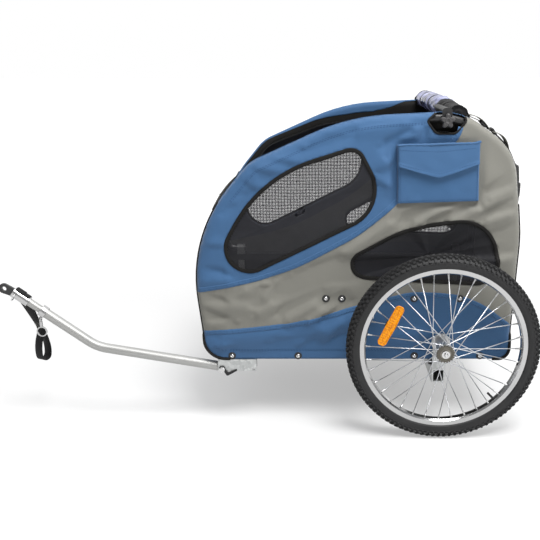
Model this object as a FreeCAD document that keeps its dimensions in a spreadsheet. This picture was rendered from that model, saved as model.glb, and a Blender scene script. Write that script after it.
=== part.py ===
import FreeCAD, Part
import math
import os
import re
import Sketcher

# Dog bike trailer. Millimetres, +Z up, front towards -X, left side towards -Y, floor at z = 0.
# Places along the trailer are measured from the wheel axle: a lead is ahead of it, a trail behind it.

sizes = {
    # wheels and their hubs
    "axle_x": 447, "rim_d": 422, "rim_deep": 15.5, "rim_w": 27,
    "tyre_rise": 34, "tyre_w": 44, "bead_sink": 7.5,
    "valve_d": 6, "valve_len": 30, "valve_gap": 0.2,
    "hub_flange_d": 48, "hub_barrel_d": 32, "hub_end_d": 34, "hub_bore_d": 19, "hub_len": 82,
    "flange_inset": 5, "flange_wall": 3.2, "bearing_d": 28, "bearing_w": 8,
    "spoke_d": 2, "spoke_circle_d": 45, "spoke_lift": 3.4, "nipple_gap": 0.3, "rim_spread": 3,
    "reflector_len": 112, "reflector_w": 25, "reflector_wall": 6,
    "reflector_inset": 45.5, "reflector_gap": 0.34,
    # stub axles and push buttons
    "axle_d": 12, "run_gap": 0.05, "shoulder_d": 18, "collar_d": 20, "collar_len": 4.5, "end_gap": 0.5,
    "button_d": 10, "button_len": 12, "button_dome": 5, "button_travel": 3, "button_spare": 1,
    # axle beam and the plates at its ends
    "beam_w": 34, "beam_rise": 38, "beam_wall": 2, "plate_wall": 5, "plate_top": 17, "hub_gap": 8,
    "boss_d": 22, "boss_len": 14, "boss_gap": 8, "window_w": 26, "window_rise": 30,
    # square tube frame
    "rail_size": 20, "rail_wall": 1.5, "rail_lift": 9, "front_post_inset": 60, "rear_post_inset": 62,
    "hinge_rise": 28, "spacer_len": 44, "spacer_rise": 16,
    "board_wall": 6, "board_gap": 0.7,
    # fabric cabin
    "half_width": 264, "fabric": 3, "seat_gap": 0.3, "cabin_lead": 626, "cabin_len": 819,
    "cabin_z": 182, "cabin_rise": 636, "seam_lift": 16, "seam_gap": 1, "door_gap": 0.4,
    "roof_edge": 47, "sheet_gap": 0.3, "mesh_wall": 1, "mesh_lap": 8,
    "cutout_w": 93, "cutout_rise": 73, "cutout_front": 50, "cutout_drop": 55.5,
    # folding side hoops
    "hoop_d": 19, "hoop_wall": 1.5, "hoop_edge": 5.5, "hoop_bend": 30, "hoop_leg": 36, "stub_len": 62,
    "block_len": 24, "block_wall": 0.6, "block_top": 13, "hinge_gap": 0.06,
    # roof bar, star knobs and rolled cover
    "bar_d": 16, "bar_gap": 1.8, "end_wall": 4, "end_w": 24, "end_low": 14, "end_inset": 0.8,
    "knob_drop": 13.5, "knob_d": 38, "knob_lobe_d": 13, "knob_wall": 13, "knob_neck": 3, "knob_neck_d": 15,
    "stud_d": 6, "stud_gap": 0.3, "roll_d": 48, "roll_gap": 0.3, "roll_tie": 2.5, "roll_tie_w": 14,
    # pocket on the left side
    "pocket_len": 202, "pocket_drop": 66.5, "pocket_rise": 144, "pocket_depth": 18,
    "pocket_wall": 2, "mouth_rise": 22, "mouth_inset": 12, "flap_wall": 2.2, "flap_side": 50, "flap_tip": 81,
    # screws through the fabric
    "washer_d": 19, "washer_wall": 1.5, "screw_head_d": 13, "screw_head": 3.5,
    # tow bracket, hinge pin and its rubber clip
    "arm_d": 25.4, "arm_wall": 2, "arm_inset": 14, "tow_inset": 57, "tow_drop": 27, "arm_slack": 0.5,
    "bracket_wall": 3, "bracket_front": 10, "bracket_rear": 91, "bracket_low": 6, "bracket_hole_d": 6,
    "pin_d": 10, "pin_head_d": 16, "pin_head": 4, "pin_spare": 8,
    "clip_wall": 2.5, "clip_ring_d": 17, "clip_bar": 4.5, "clip_drop": 18, "clip_reach": 40,
    # tow arm and coupler, along the arm from its bend
    "arm_tail": 17, "arm_run": 335, "arm_rise_angle": 9.8, "arm_tip_angle": 36.9,
    "arm_tip": 172, "arm_bend": 110,
    "collar_back": 16, "arm_collar_d": 31, "coupler_d": 20, "coupler_start": 120, "coupler_end": 215,
    "coupler_wall": 2, "sleeve_d": 27, "sleeve_start": 208, "sleeve_end": 254, "sleeve_gap": 0.2,
    "band_d": 29, "band_len": 11, "hitch_pin_d": 6, "hitch_pin_at": 246,
    "hitch_pin_len": 36, "hitch_slot": 19,
    "eye_wall": 7, "eye_reach": 32, "eye_rise_angle": 26, "eye_bore_d": 12, "eye_d": 29, "shank_d": 18,
    "wire_d": 2.5, "wire_drop": 27, "wire_gap": 1.05, "wire_knee": 13,
    # safety strap and snap hook
    "strap_w": 25, "strap_wall": 2, "strap_turn_angle": 40, "strap_at": 224, "strap_sink": 3,
    "strap_band": 84, "strap_lean": 44, "strap_loop": 88, "strap_spread": 36,
    "hook_eye_d": 15, "hook_wire_d": 3, "hook_barrel_d": 8, "hook_barrel": 16, "hook_d": 28, "hook_gap": 1.6,
    # every cut runs past its solid by this much
    "overrun": 5,
}

# Corners of the cabin's side outline: share of its length, share of its height, radius share of its height.
side_shares = (
    (0.022, 0.0, 0.088), (-0.0195, 0.514, 0.615), (0.172, 0.813, 0.168), (0.471, 0.986, 0.819),
    (0.803, 1.008, 0.269), (0.971, 0.855, 0.225), (1.0037, 0.519, 0.627), (0.9927, 0.0, 0.044),
)
# The two mesh windows of a side, in the same shares.
front_window_shares = (
    (-0.017, 0.245, 0.097), (0.596, 0.640, 0.153), (0.499, 0.879, 0.058), (0.206, 0.758, 0.539),
)
rear_window_shares = (
    (0.375, 0.374, 0.058), (0.957, 0.37, 0.08), (0.906, 0.610, 0.154), (0.647, 0.557, 0.484),
)
# Heights of the hinges and of the front door's top, as shares of the cabin's height.
left_hinge_share = 0.308176
right_hinge_share = 0.262579
door_share = 0.62579
# Where the roof bar and the pocket's front edge stand along the cabin.
bar_share = 0.75824
pocket_share = 0.61539
# Half section of the tyre and the rim: share of the depth outwards, share of the half width.
tyre_shares = ((0, 0.45), (0.19, 0.5), (0.3, 0.86), (0.48, 1), (0.68, 0.95), (0.86, 0.72), (0.97, 0.38))
rim_shares = ((0, 0.52), (0.23, 0.89), (1, 1), (1, 0.85), (0.5, 0.78), (0.32, 0.44))
# Screws along the cabin's length.
low_screw_shares = (0.104, 0.316, 0.503, 0.69, 0.901)
high_screw_shares = (0.405, 0.455, 0.683, 0.827)
# The opening round a star knob: share of its width, share of its height.
cutout_shares = ((0, 0.52), (0.24, 0), (0.78, 0), (1, 0.52), (0.9, 1), (0.1, 1))
# The middle cross tube stands at this share of the way from the front posts to the rear ones.
middle_tube_share = 0.5
# The collars of the roll's ties, as shares of half its length.
tie_shares = (-0.62, 0, 0.62)
# Roundings, each as a share of the width that it rounds.
plate_round_share = 0.45
block_round_shares = (0.75, 0.9)
eye_round_share = 0.45
flap_round_share = 0.1
# The rubber clip's knee and fork as shares of its ring's radius, and the wire clip's bow of its wire.
clip_knee_share = 1.4
clip_fork_share = 1.9
wire_bow_share = 1.5
# The strap's hand loop: its belly along the loop, and its slit, foot and roundings across it.
belly_share = 0.66
slit_share = 0.4
foot_share = 0.9
loop_round_share = 0.42
slit_round_share = 0.36
# Degrees and counts.
valve_angle = -46
reflector_angle = 200
spoke_count = 36
spoke_cross = 3
spoke_face_count = 6
screw_face_count = 10
hoop_face_count = 12
knob_lobe_count = 5

doc = FreeCAD.newDocument("dog_bike_trailer")
sheet = doc.addObject("Spreadsheet::Sheet", "Dims")
for row, (alias, number) in enumerate(sizes.items(), start=1):
    sheet.set("A%d" % row, alias)
    sheet.set("B%d" % row, str(number))
    sheet.setAlias("B%d" % row, alias)
doc.recompute()

nodes = {}
vector = FreeCAD.Vector


def cell(text):
    """The text as an expression on the sheet's cells."""
    return re.sub(r"[a-z]\w*", lambda word: ("Dims." if word.group() in sizes else "") + word.group(), text)


def size(text):
    """The value of such an expression."""
    return float(sheet.evalExpression(cell(text)))


def bind(item, **places):
    for place, text in places.items():
        item.setExpression(place.replace("__", "."), cell(text))
    return item


def node(item, name):
    """Name a finished piece: its label becomes the name of its file."""
    item.Label = name
    nodes[name] = item
    return item


def body(name):
    return doc.addObject("PartDesign::Body", name + "_body")


def sketch_on(owner, role, offset="0", across="0", up="0"):
    """A sketch on one of the body's own planes, set off along the plane's normal."""
    plane = [feature for feature in owner.Origin.OriginFeatures if feature.Role == role][0]
    drawing = owner.newObject("Sketcher::SketchObject", owner.Name + "_sketch")
    drawing.AttachmentSupport = (plane, [""])
    drawing.MapMode = "FlatFace"
    for axis, place in zip("xyz", (across, up, offset)):
        bind(drawing, **{"AttachmentOffset__Base__" + axis: place})
    return drawing


def hold(drawing, kind, *where, text):
    """A driving constraint whose value is an expression."""
    index = drawing.addConstraint(Sketcher.Constraint(kind, *where, size(text)))
    drawing.setExpression("Constraints[%d]" % index, cell(text))


def place_point(drawing, geometry, point, across, up):
    hold(drawing, "DistanceX", -1, 1, geometry, point, text=across)
    hold(drawing, "DistanceY", -1, 1, geometry, point, text=up)


def circle(drawing, across, up, diameter):
    centre = vector(size(across), size(up), 0)
    ring = drawing.addGeometry(Part.Circle(centre, vector(0, 0, 1), size(diameter) / 2))
    place_point(drawing, ring, 3, across, up)
    hold(drawing, "Radius", ring, text="(%s) / 2" % diameter)


def corner_arc(here, before, after, radius):
    """Where a corner's rounding starts, its middle and where it ends."""
    back = (before - here).normalize()
    ahead = (after - here).normalize()
    half = back.getAngle(ahead) / 2
    inward = (back + ahead).normalize()
    reach = radius / math.tan(half)
    middle = here + inward * (radius / math.sin(half) - radius)
    return here + back * reach, middle, here + ahead * reach


def outline(drawing, corners):
    """A closed outline of straight sides: (across, up, radius), sharp where the radius is empty."""
    flat = [vector(size(across), size(up), 0) for across, up, radius in corners]
    count = len(corners)
    rounds = []
    for index, (across, up, radius) in enumerate(corners):
        here, before, after = flat[index], flat[index - 1], flat[(index + 1) % count]
        rounds.append(corner_arc(here, before, after, size(radius)) if radius else (here, None, here))
    lines = []
    for index in range(count):
        ends = rounds[index][2], rounds[(index + 1) % count][0]
        lines.append(drawing.addGeometry(Part.LineSegment(*ends)))
    for index, (across, up, radius) in enumerate(corners):
        last, line = lines[index - 1], lines[index]
        start, middle, end = rounds[index]
        if not radius:
            drawing.addConstraint(Sketcher.Constraint("Coincident", last, 2, line, 1))
            place_point(drawing, line, 1, across, up)
            continue
        arc = drawing.addGeometry(Part.Arc(start, middle, end))
        left_turn = (middle - start).cross(end - middle).z > 0
        first, second = (1, 2) if left_turn else (2, 1)
        drawing.addConstraint(Sketcher.Constraint("Tangent", last, 2, arc, first))
        drawing.addConstraint(Sketcher.Constraint("Tangent", arc, second, line, 1))
        hold(drawing, "Radius", arc, text=radius)
        corner = drawing.addGeometry(Part.Point(flat[index]), True)
        place_point(drawing, corner, 1, across, up)
        drawing.addConstraint(Sketcher.Constraint("PointOnObject", corner, 1, last))
        drawing.addConstraint(Sketcher.Constraint("PointOnObject", corner, 1, line))


def pad(owner, drawing, length, reverse=False, middle=False):
    feature = owner.newObject("PartDesign::Pad", owner.Name + "_pad")
    feature.Profile = drawing
    feature.Reversed = reverse
    feature.Midplane = middle
    return bind(feature, Length=length)


def pocket(owner, drawing, length, reverse=False):
    doc.recompute()
    before = owner.Shape.Volume
    feature = owner.newObject("PartDesign::Pocket", owner.Name + "_pocket")
    feature.Profile = drawing
    feature.Reversed = reverse
    bind(feature, Length=length)
    doc.recompute()
    if owner.Shape.Volume >= before:
        raise ValueError(owner.Name + " has a pocket that cuts nothing")
    return feature


def revolve(owner, drawing, axis="V_Axis"):
    feature = owner.newObject("PartDesign::Revolution", owner.Name + "_turn")
    feature.Profile = drawing
    feature.ReferenceAxis = (drawing, [axis])
    return feature


def mirror(owner, features, role="XZ_Plane"):
    feature = owner.newObject("PartDesign::Mirrored", owner.Name + "_mirror")
    feature.Originals = features
    plane = [found for found in owner.Origin.OriginFeatures if found.Role == role][0]
    feature.MirrorPlane = (plane, [""])
    owner.Tip = feature
    return feature


def box(name, x, y, z):
    """A block between two places on each axis."""
    solid = doc.addObject("Part::Box", name)
    for length, axis, (low, high) in zip(("Length", "Width", "Height"), "xyz", (x, y, z)):
        bind(solid, **{length: "(%s) - (%s)" % (high, low), "Placement__Base__" + axis: low})
    return solid


def rod(name, place, diameter, length, direction):
    """A round bar from a place along a direction."""
    solid = bind(doc.addObject("Part::Cylinder", name), Radius="(%s) / 2" % diameter, Height=length)
    solid.Placement.Rotation = FreeCAD.Rotation(vector(0, 0, 1), direction)
    for axis, text in zip("xyz", place):
        bind(solid, **{"Placement__Base__" + axis: text})
    return solid


def cut(name, base, tool):
    feature = doc.addObject("Part::Cut", name)
    feature.Base, feature.Tool = base, tool
    return feature


def group(name, links):
    feature = doc.addObject("Part::Compound", name + "_group")
    feature.Links = links
    return node(feature, name)


def square_tube(name, x, y, z, along):
    """A square tube between two places on each axis, open at both ends along one of them."""
    spans = {"x": x, "y": y, "z": z}
    inner = {}
    for axis, (low, high) in spans.items():
        step = "overrun" if axis == along else "-rail_wall"
        inner[axis] = ("(%s) - (%s)" % (low, step), "(%s) + (%s)" % (high, step))
    return cut(name, box(name + "_outer", **spans), box(name + "_inner", **inner))


def shape_feature(name, shape):
    feature = doc.addObject("Part::Feature", name + "_shape")
    feature.Shape = shape
    return node(feature, name)


def many_sided(start, way, diameter, count):
    """A flat face of many sides across a way, for round pieces that repeat."""
    turn = FreeCAD.Rotation(vector(0, 0, 1), way)
    ring = []
    for index in range(count):
        angle = 2 * math.pi * index / count
        ring.append(start + turn.multVec(vector(math.cos(angle), math.sin(angle), 0)) * (diameter / 2))
    return Part.Face(Part.makePolygon(ring + ring[:1]))


def prism(start, way, diameter, count):
    return many_sided(start, way, diameter, count).extrude(way)


def bent_wire(points, radii):
    """Straight runs joined by tangent arcs; the first and last points have no radius."""
    edges = []
    last = points[0]
    for before, here, after, radius in zip(points, points[1:], points[2:], radii):
        start, middle, end = corner_arc(here, before, after, radius)
        edges.append(Part.LineSegment(last, start).toShape())
        edges.append(Part.Arc(start, middle, end).toShape())
        last = end
    edges.append(Part.LineSegment(last, points[-1]).toShape())
    return Part.Wire(edges)


def bent_bar(points, radii, diameter, count=None):
    """A bar along a bent path, round or of many sides."""
    way = points[1] - points[0]
    if count:
        section = many_sided(points[0], way, diameter, count)
    else:
        section = Part.Face(Part.Wire(Part.Circle(points[0], way, diameter / 2).toShape()))
    return bent_wire(points, radii).makePipe(section)


def bent_tube(points, radii, diameter, wall, count=None):
    bore = bent_bar(points, radii, diameter - 2 * wall, count)
    return bent_bar(points, radii, diameter, count).cut(bore)


cabin_front = "(axle_x - cabin_lead)"
panel_in = "(half_width - fabric)"
rail_out = "(half_width - fabric - seat_gap)"
rail_in = "(half_width - fabric - seat_gap - rail_size)"
hoop_y = "(half_width - fabric - seat_gap - block_wall - hoop_d / 2)"
rail_z = "(cabin_z + rail_lift)"
rail_low, rail_high = "(%s - rail_size / 2)" % rail_z, "(%s + rail_size / 2)" % rail_z
front_post = "(%s + front_post_inset)" % cabin_front
rear_post = "(%s + cabin_len - rear_post_inset)" % cabin_front
beam_z = "(%s - spacer_rise - beam_rise / 2)" % rail_low
rim_in = "(rim_d / 2 - rim_deep)"
wheel_z = "(rim_d / 2 + tyre_rise)"
flange_y = "(hub_len / 2 - flange_inset)"
plate_in = "(half_width + boss_gap + boss_len)"
plate_out = "(half_width + boss_gap + boss_len + plate_wall)"
wheel_y = "(%s + hub_gap + hub_len / 2)" % plate_out
sides = {"left": -1, "right": 1}


def along_cabin(share):
    return "(%s + %s * cabin_len)" % (cabin_front, share)


def up_cabin(share):
    return "(cabin_z + %s * cabin_rise)" % share


hinge_z = {"left": up_cabin(left_hinge_share), "right": up_cabin(right_hinge_share)}


def cabin_corners(shares):
    return [(along_cabin(across), up_cabin(up), "%s * cabin_rise" % radius) for across, up, radius in shares]


def outward(side, place):
    """A distance from the middle of the trailer as a place on the Y axis."""
    return "(%s)" % place if sides[side] > 0 else "(-(%s))" % place


def span(side, near, far):
    """Two distances from the middle of the trailer, lowest first on the Y axis."""
    ends = outward(side, near), outward(side, far)
    return ends if sides[side] > 0 else ends[::-1]


# Wheels. Each is drawn about its own Z axis, which points outwards, with the valve on its X axis.

def wheel_place(item, side):
    outwards = FreeCAD.Rotation(vector(1, 0, 0), -90 * sides[side])
    item.Placement.Rotation = outwards.multiply(FreeCAD.Rotation(vector(0, 0, 1), valve_angle))
    for axis, place in zip("xyz", ("axle_x", outward(side, wheel_y), wheel_z)):
        bind(item, **{"Placement__Base__" + axis: place})
    return item


def turned(owner, corners):
    drawing = sketch_on(owner, "XZ_Plane")
    outline(drawing, [(across, up, "") for across, up in corners])
    return revolve(owner, drawing)


def both_halves(half):
    """A half section and its mirror image, as one closed outline."""
    return [(across, "-(%s)" % up) for across, up in half] + half[::-1]


def make_tyre(side):
    owner = body(side + "_tyre")
    bead = "rim_d / 2 - bead_sink"
    half = [
        ("%s + %s * (tyre_rise + bead_sink)" % (bead, deep), "%s * tyre_w / 2" % wide)
        for deep, wide in tyre_shares
    ]
    crown = (wheel_z, "0")
    turned(owner, [(across, "-(%s)" % up) for across, up in half] + [crown] + half[::-1])
    wheel_place(node(owner, side + "_tyre"), side)


def make_rim(side):
    owner = body(side + "_rim")
    half = [("%s + %s * rim_deep" % (rim_in, deep), "%s * rim_w / 2" % wide) for deep, wide in rim_shares]
    turned(owner, both_halves(half))
    drawing = sketch_on(owner, "YZ_Plane")
    circle(drawing, "0", "0", "valve_d + 2 * valve_gap")
    pocket(owner, drawing, "rim_d / 2 + overrun", reverse=True)
    wheel_place(node(owner, side + "_rim"), side)


def make_hub(side):
    owner = body(side + "_hub")
    seat = "hub_len / 2 - bearing_w"
    flange_in, flange_out = flange_y + " - flange_wall / 2", flange_y + " + flange_wall / 2"
    half = [
        ("hub_bore_d / 2", seat), ("bearing_d / 2", seat), ("bearing_d / 2", "hub_len / 2"),
        ("hub_end_d / 2", "hub_len / 2"), ("hub_end_d / 2", flange_out),
        ("hub_flange_d / 2", flange_out), ("hub_flange_d / 2", flange_in),
        ("hub_barrel_d / 2", flange_in),
    ]
    turned(owner, both_halves(half[::-1])[::-1])
    wheel_place(node(owner, side + "_hub"), side)


def make_bearings(side):
    owner = body(side + "_bearings")
    drawing = sketch_on(owner, "XY_Plane", "hub_len / 2 - bearing_w")
    circle(drawing, "0", "0", "bearing_d")
    circle(drawing, "0", "0", "axle_d + 2 * run_gap")
    mirror(owner, [pad(owner, drawing, "bearing_w")], "XY_Plane")
    wheel_place(node(owner, side + "_bearings"), side)


def make_valve(side):
    owner = body(side + "_valve")
    drawing = sketch_on(owner, "YZ_Plane", rim_in + " + rim_deep / 2")
    circle(drawing, "0", "0", "valve_d")
    pad(owner, drawing, "valve_len", reverse=True)
    wheel_place(node(owner, side + "_valve"), side)


def make_reflector(side):
    """A bar clipped outside the spokes, which lean inwards from the flange to the rim."""
    owner = body(side + "_reflector")
    near = rim_in + " - reflector_inset - reflector_w / 2"
    far = rim_in + " - reflector_inset + reflector_w / 2"
    spoke_foot = "spoke_circle_d / 2 * %.5f" % math.cos(math.radians(720 / spoke_count * spoke_cross))
    lean = "(%s - (%s)) / (%s - %s)" % (rim_in, near, rim_in, spoke_foot)
    spoke_out = "rim_spread + (%s + spoke_lift - rim_spread) * %s + spoke_d / 2" % (flange_y, lean)
    drawing = sketch_on(owner, "XY_Plane", spoke_out + " + reflector_gap")
    half = "reflector_len / 2"
    rounding = "reflector_w / 3"
    outline(drawing, [
        (near, "-" + half, rounding), (far, "-" + half, rounding),
        (far, half, rounding), (near, half, rounding),
    ])
    pad(owner, drawing, "reflector_wall")
    wheel_place(node(owner, side + "_reflector"), side)
    turn = FreeCAD.Rotation(vector(0, 0, 1), reflector_angle)
    owner.Placement.Rotation = owner.Placement.Rotation.multiply(turn)


def make_spokes(side):
    """Tangent lacing: on each flange, neighbours cross and lie on opposite faces."""
    reach = size(rim_in + " - nipple_gap")
    circle_r, flange, lift = size("spoke_circle_d / 2"), size(flange_y), size("spoke_lift")
    step = 360 / spoke_count
    bars = []
    for index in range(spoke_count):
        rim_turn = math.radians(step * (index + 0.5))
        face = 1 if index % 2 else -1
        leading = 1 if (index // 2) % 2 else -1
        hub_turn = rim_turn + leading * math.radians(2 * step * spoke_cross)
        level = face * flange + leading * lift
        start = vector(circle_r * math.cos(hub_turn), circle_r * math.sin(hub_turn), level)
        end = vector(reach * math.cos(rim_turn), reach * math.sin(rim_turn), face * size("rim_spread"))
        bars.append(prism(start, end - start, size("spoke_d"), spoke_face_count))
    wheel_place(shape_feature(side + "_spokes", Part.Compound(bars)), side)


for side in sides:
    for make in (make_tyre, make_rim, make_hub, make_bearings, make_valve, make_reflector, make_spokes):
        make(side)


# Stub axles, push buttons, axle plates and the beam between them.

hub_out = "(%s + hub_len / 2)" % wheel_y
hub_in = "(%s - hub_len / 2)" % wheel_y


def make_axles():
    owner = body("stub_axles")
    drawing = sketch_on(owner, "XY_Plane", wheel_z, "axle_x")
    tip = hub_out + " + end_gap + collar_len"
    button_floor = tip + " - button_len - button_travel - button_spare"
    profile = [
        ("0", plate_in + " - boss_len"), ("axle_d / 2", plate_in + " - boss_len"), ("axle_d / 2", plate_out),
        ("shoulder_d / 2", plate_out), ("shoulder_d / 2", hub_in + " - end_gap"),
        ("axle_d / 2", hub_in + " - end_gap"), ("axle_d / 2", hub_out + " + end_gap"),
        ("collar_d / 2", hub_out + " + end_gap"), ("collar_d / 2", tip),
        ("button_d / 2 + run_gap", tip), ("button_d / 2 + run_gap", button_floor), ("0", button_floor),
    ]
    outline(drawing, [(across, up, "") for across, up in profile])
    mirror(owner, [revolve(owner, drawing)])
    node(owner, "stub_axles")


def make_button(side):
    owner = body(side + "_axle_button")
    drawing = sketch_on(owner, "XZ_Plane")
    tip = "hub_len / 2 + end_gap + collar_len"
    outline(drawing, [
        ("0", tip + " - button_len", ""), ("button_d / 2", tip + " - button_len", ""),
        ("button_d / 2", tip + " + button_dome / 2", ""), ("button_d / 3", tip + " + button_dome", ""),
        ("0", tip + " + button_dome", ""),
    ])
    revolve(owner, drawing)
    wheel_place(node(owner, side + "_axle_button"), side)


def make_axle_plates():
    owner = body("axle_plates")
    plate = sketch_on(owner, "XZ_Plane", plate_in)
    left, right = "axle_x - beam_w / 2", "axle_x + beam_w / 2"
    low, high = beam_z + " - beam_rise / 2", wheel_z + " + plate_top"
    rounding = "beam_w * %s" % plate_round_share
    outline(plate, [(left, low, ""), (right, low, ""), (right, high, rounding), (left, high, rounding)])
    circle(plate, "axle_x", wheel_z, "axle_d + 2 * run_gap")
    sill, head = beam_z + " - window_rise / 2", beam_z + " + window_rise / 2"
    near, far = "axle_x - window_w / 2", "axle_x + window_w / 2"
    outline(plate, [(near, sill, ""), (far, sill, ""), (far, head, ""), (near, head, "")])
    boss = sketch_on(owner, "XZ_Plane", plate_in)
    circle(boss, "axle_x", wheel_z, "boss_d")
    circle(boss, "axle_x", wheel_z, "axle_d + 2 * run_gap")
    features = [pad(owner, plate, "plate_wall"), pad(owner, boss, "boss_len", reverse=True)]
    mirror(owner, features)
    node(owner, "axle_plates")


def make_beam():
    low, high = beam_z + " - beam_rise / 2", beam_z + " + beam_rise / 2"
    front, rear = "axle_x - beam_w / 2", "axle_x + beam_w / 2"
    outer = box("beam_outer", (front, rear), ("-" + plate_in, plate_in), (low, high))
    inner = box(
        "beam_inner", (front + " + beam_wall", rear + " - beam_wall"),
        ("-%s - overrun" % plate_in, plate_in + " + overrun"), (low + " + beam_wall", high + " - beam_wall"),
    )
    node(cut("beam_cut", outer, inner), "axle_beam")
    spacers = []
    for side in sides:
        spacers.append(box(
            side + "_spacer", ("axle_x - spacer_len / 2", "axle_x + spacer_len / 2"),
            span(side, rail_in, rail_out), (high, rail_low),
        ))
    group("axle_spacers", spacers)


make_axles()
make_axle_plates()
make_beam()
for side in sides:
    make_button(side)


# Square tube frame: lower rails and cross tubes, posts, upper rails and hinge blocks.

def make_frame():
    half = "rail_size / 2"
    ends = (front_post + " - " + half, rear_post + " + " + half)
    level = (rail_low, rail_high)
    lower = []
    upper = []
    posts = []
    for side in sides:
        across = span(side, rail_in, rail_out)
        top = "(%s - hinge_rise)" % hinge_z[side]
        lower.append(square_tube(side + "_rail", ends, across, level, "x"))
        levels = (top + " - " + half, top + " + " + half)
        upper.append(square_tube(side + "_top_rail", ends, across, levels, "x"))
        for name, place in (("front", front_post), ("rear", rear_post)):
            foot = (place + " - " + half, place + " + " + half)
            reach = (rail_high, top + " - " + half)
            posts.append(square_tube(side + name + "_post", foot, across, reach, "z"))
    middle = "%s + %s * (%s - %s)" % (front_post, middle_tube_share, rear_post, front_post)
    for name, place in (("front", front_post), ("middle", middle), ("rear", rear_post)):
        foot = (place + " - " + half, place + " + " + half)
        lower.append(square_tube(name + "_cross", foot, ("-" + rail_in, rail_in), level, "y"))
    group("floor_frame", lower)
    group("upper_rails", upper)
    group("frame_posts", posts)
    reach = "(%s - board_gap)" % rail_in
    node(box("board", ends, ("-" + reach, reach), (rail_high, rail_high + " + board_wall")), "floor_board")


def make_hinge_blocks():
    owner = body("hinge_blocks")
    for side in sides:
        foot = "(%s - hinge_rise + rail_size / 2)" % hinge_z[side]
        crown = "(%s + block_top)" % hinge_z[side]
        near, far = outward(side, hoop_y + " - block_top"), outward(side, rail_out)
        for place in (front_post, rear_post):
            drawing = sketch_on(owner, "YZ_Plane", place + " - block_len / 2")
            outline(drawing, [
                (near, foot, ""), (far, foot, ""), (far, crown, "block_top * %s" % block_round_shares[0]),
                (near, crown, "block_top * %s" % block_round_shares[1]),
            ])
            circle(drawing, outward(side, hoop_y), hinge_z[side], "hoop_d + 2 * hinge_gap")
            pad(owner, drawing, "block_len")
    node(owner, "hinge_blocks")


make_frame()
make_hinge_blocks()


# Fabric: two flat sides, each split into a skirt and a folding panel, and the band across the cabin.

side_corners = cabin_corners(side_shares)
bar_x = along_cabin(bar_share)
hoop_crown = "(cabin_z + cabin_rise - hoop_edge)"


def sheet_start(side):
    """Where a side sheet starts, along the way from right to left that sketches on this plane are padded."""
    return panel_in if sides[side] < 0 else "-half_width"


def seam_cut(owner, side, low, high):
    """Cut a sheet away between two levels."""
    drawing = sketch_on(owner, "XZ_Plane", sheet_start(side))
    front, rear = "%s - cabin_len" % cabin_front, "axle_x + cabin_len"
    outline(drawing, [(front, low, ""), (rear, low, ""), (rear, high, ""), (front, high, "")])
    pocket(owner, drawing, "fabric", reverse=True)


def make_skirt(side):
    owner = body(side + "_skirt")
    drawing = sketch_on(owner, "XZ_Plane", sheet_start(side))
    outline(drawing, side_corners)
    pad(owner, drawing, "fabric")
    seam_cut(owner, side, "%s + seam_lift - seam_gap" % hinge_z[side], "cabin_z + 2 * cabin_rise")
    node(owner, side + "_skirt")


def make_panel(side):
    owner = body(side + "_side_panel")
    drawing = sketch_on(owner, "XZ_Plane", sheet_start(side))
    outline(drawing, side_corners)
    outline(drawing, cabin_corners(front_window_shares))
    outline(drawing, cabin_corners(rear_window_shares))
    pad(owner, drawing, "fabric")
    seam_cut(owner, side, "0", "%s + seam_lift" % hinge_z[side])
    opening = sketch_on(owner, "XZ_Plane", sheet_start(side))
    front, low = bar_x + " - cutout_front", hoop_crown + " - cutout_drop"
    outline(opening, [
        ("%s + %s * cutout_w" % (front, across), "%s + %s * cutout_rise" % (low, up), "")
        for across, up in cutout_shares
    ])
    pocket(owner, opening, "fabric", reverse=True)
    node(owner, side + "_side_panel")


def make_mesh(side):
    """Netting behind both windows, lapped by the panel."""
    owner = body(side + "_window_mesh")
    start = panel_in if sides[side] > 0 else panel_in + " - mesh_wall"
    start = "-(%s)" % start if sides[side] > 0 else start
    for shares in (front_window_shares, rear_window_shares):
        drawing = sketch_on(owner, "XZ_Plane", start)
        outline(drawing, lapped(cabin_corners(shares)))
        pad(owner, drawing, "mesh_wall")
    node(owner, side + "_window_mesh")


def lapped(corners):
    """The same outline, with each corner set out from the middle by the lap."""
    middle_x = sum(size(across) for across, up, radius in corners) / len(corners)
    middle_z = sum(size(up) for across, up, radius in corners) / len(corners)
    grown = []
    for across, up, radius in corners:
        away = vector(size(across) - middle_x, 0, size(up) - middle_z).normalize()
        wider, higher = "%s + %.4f * mesh_lap" % (across, away.x), "%s + %.4f * mesh_lap" % (up, away.z)
        grown.append((wider, higher, radius))
    return grown


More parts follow.
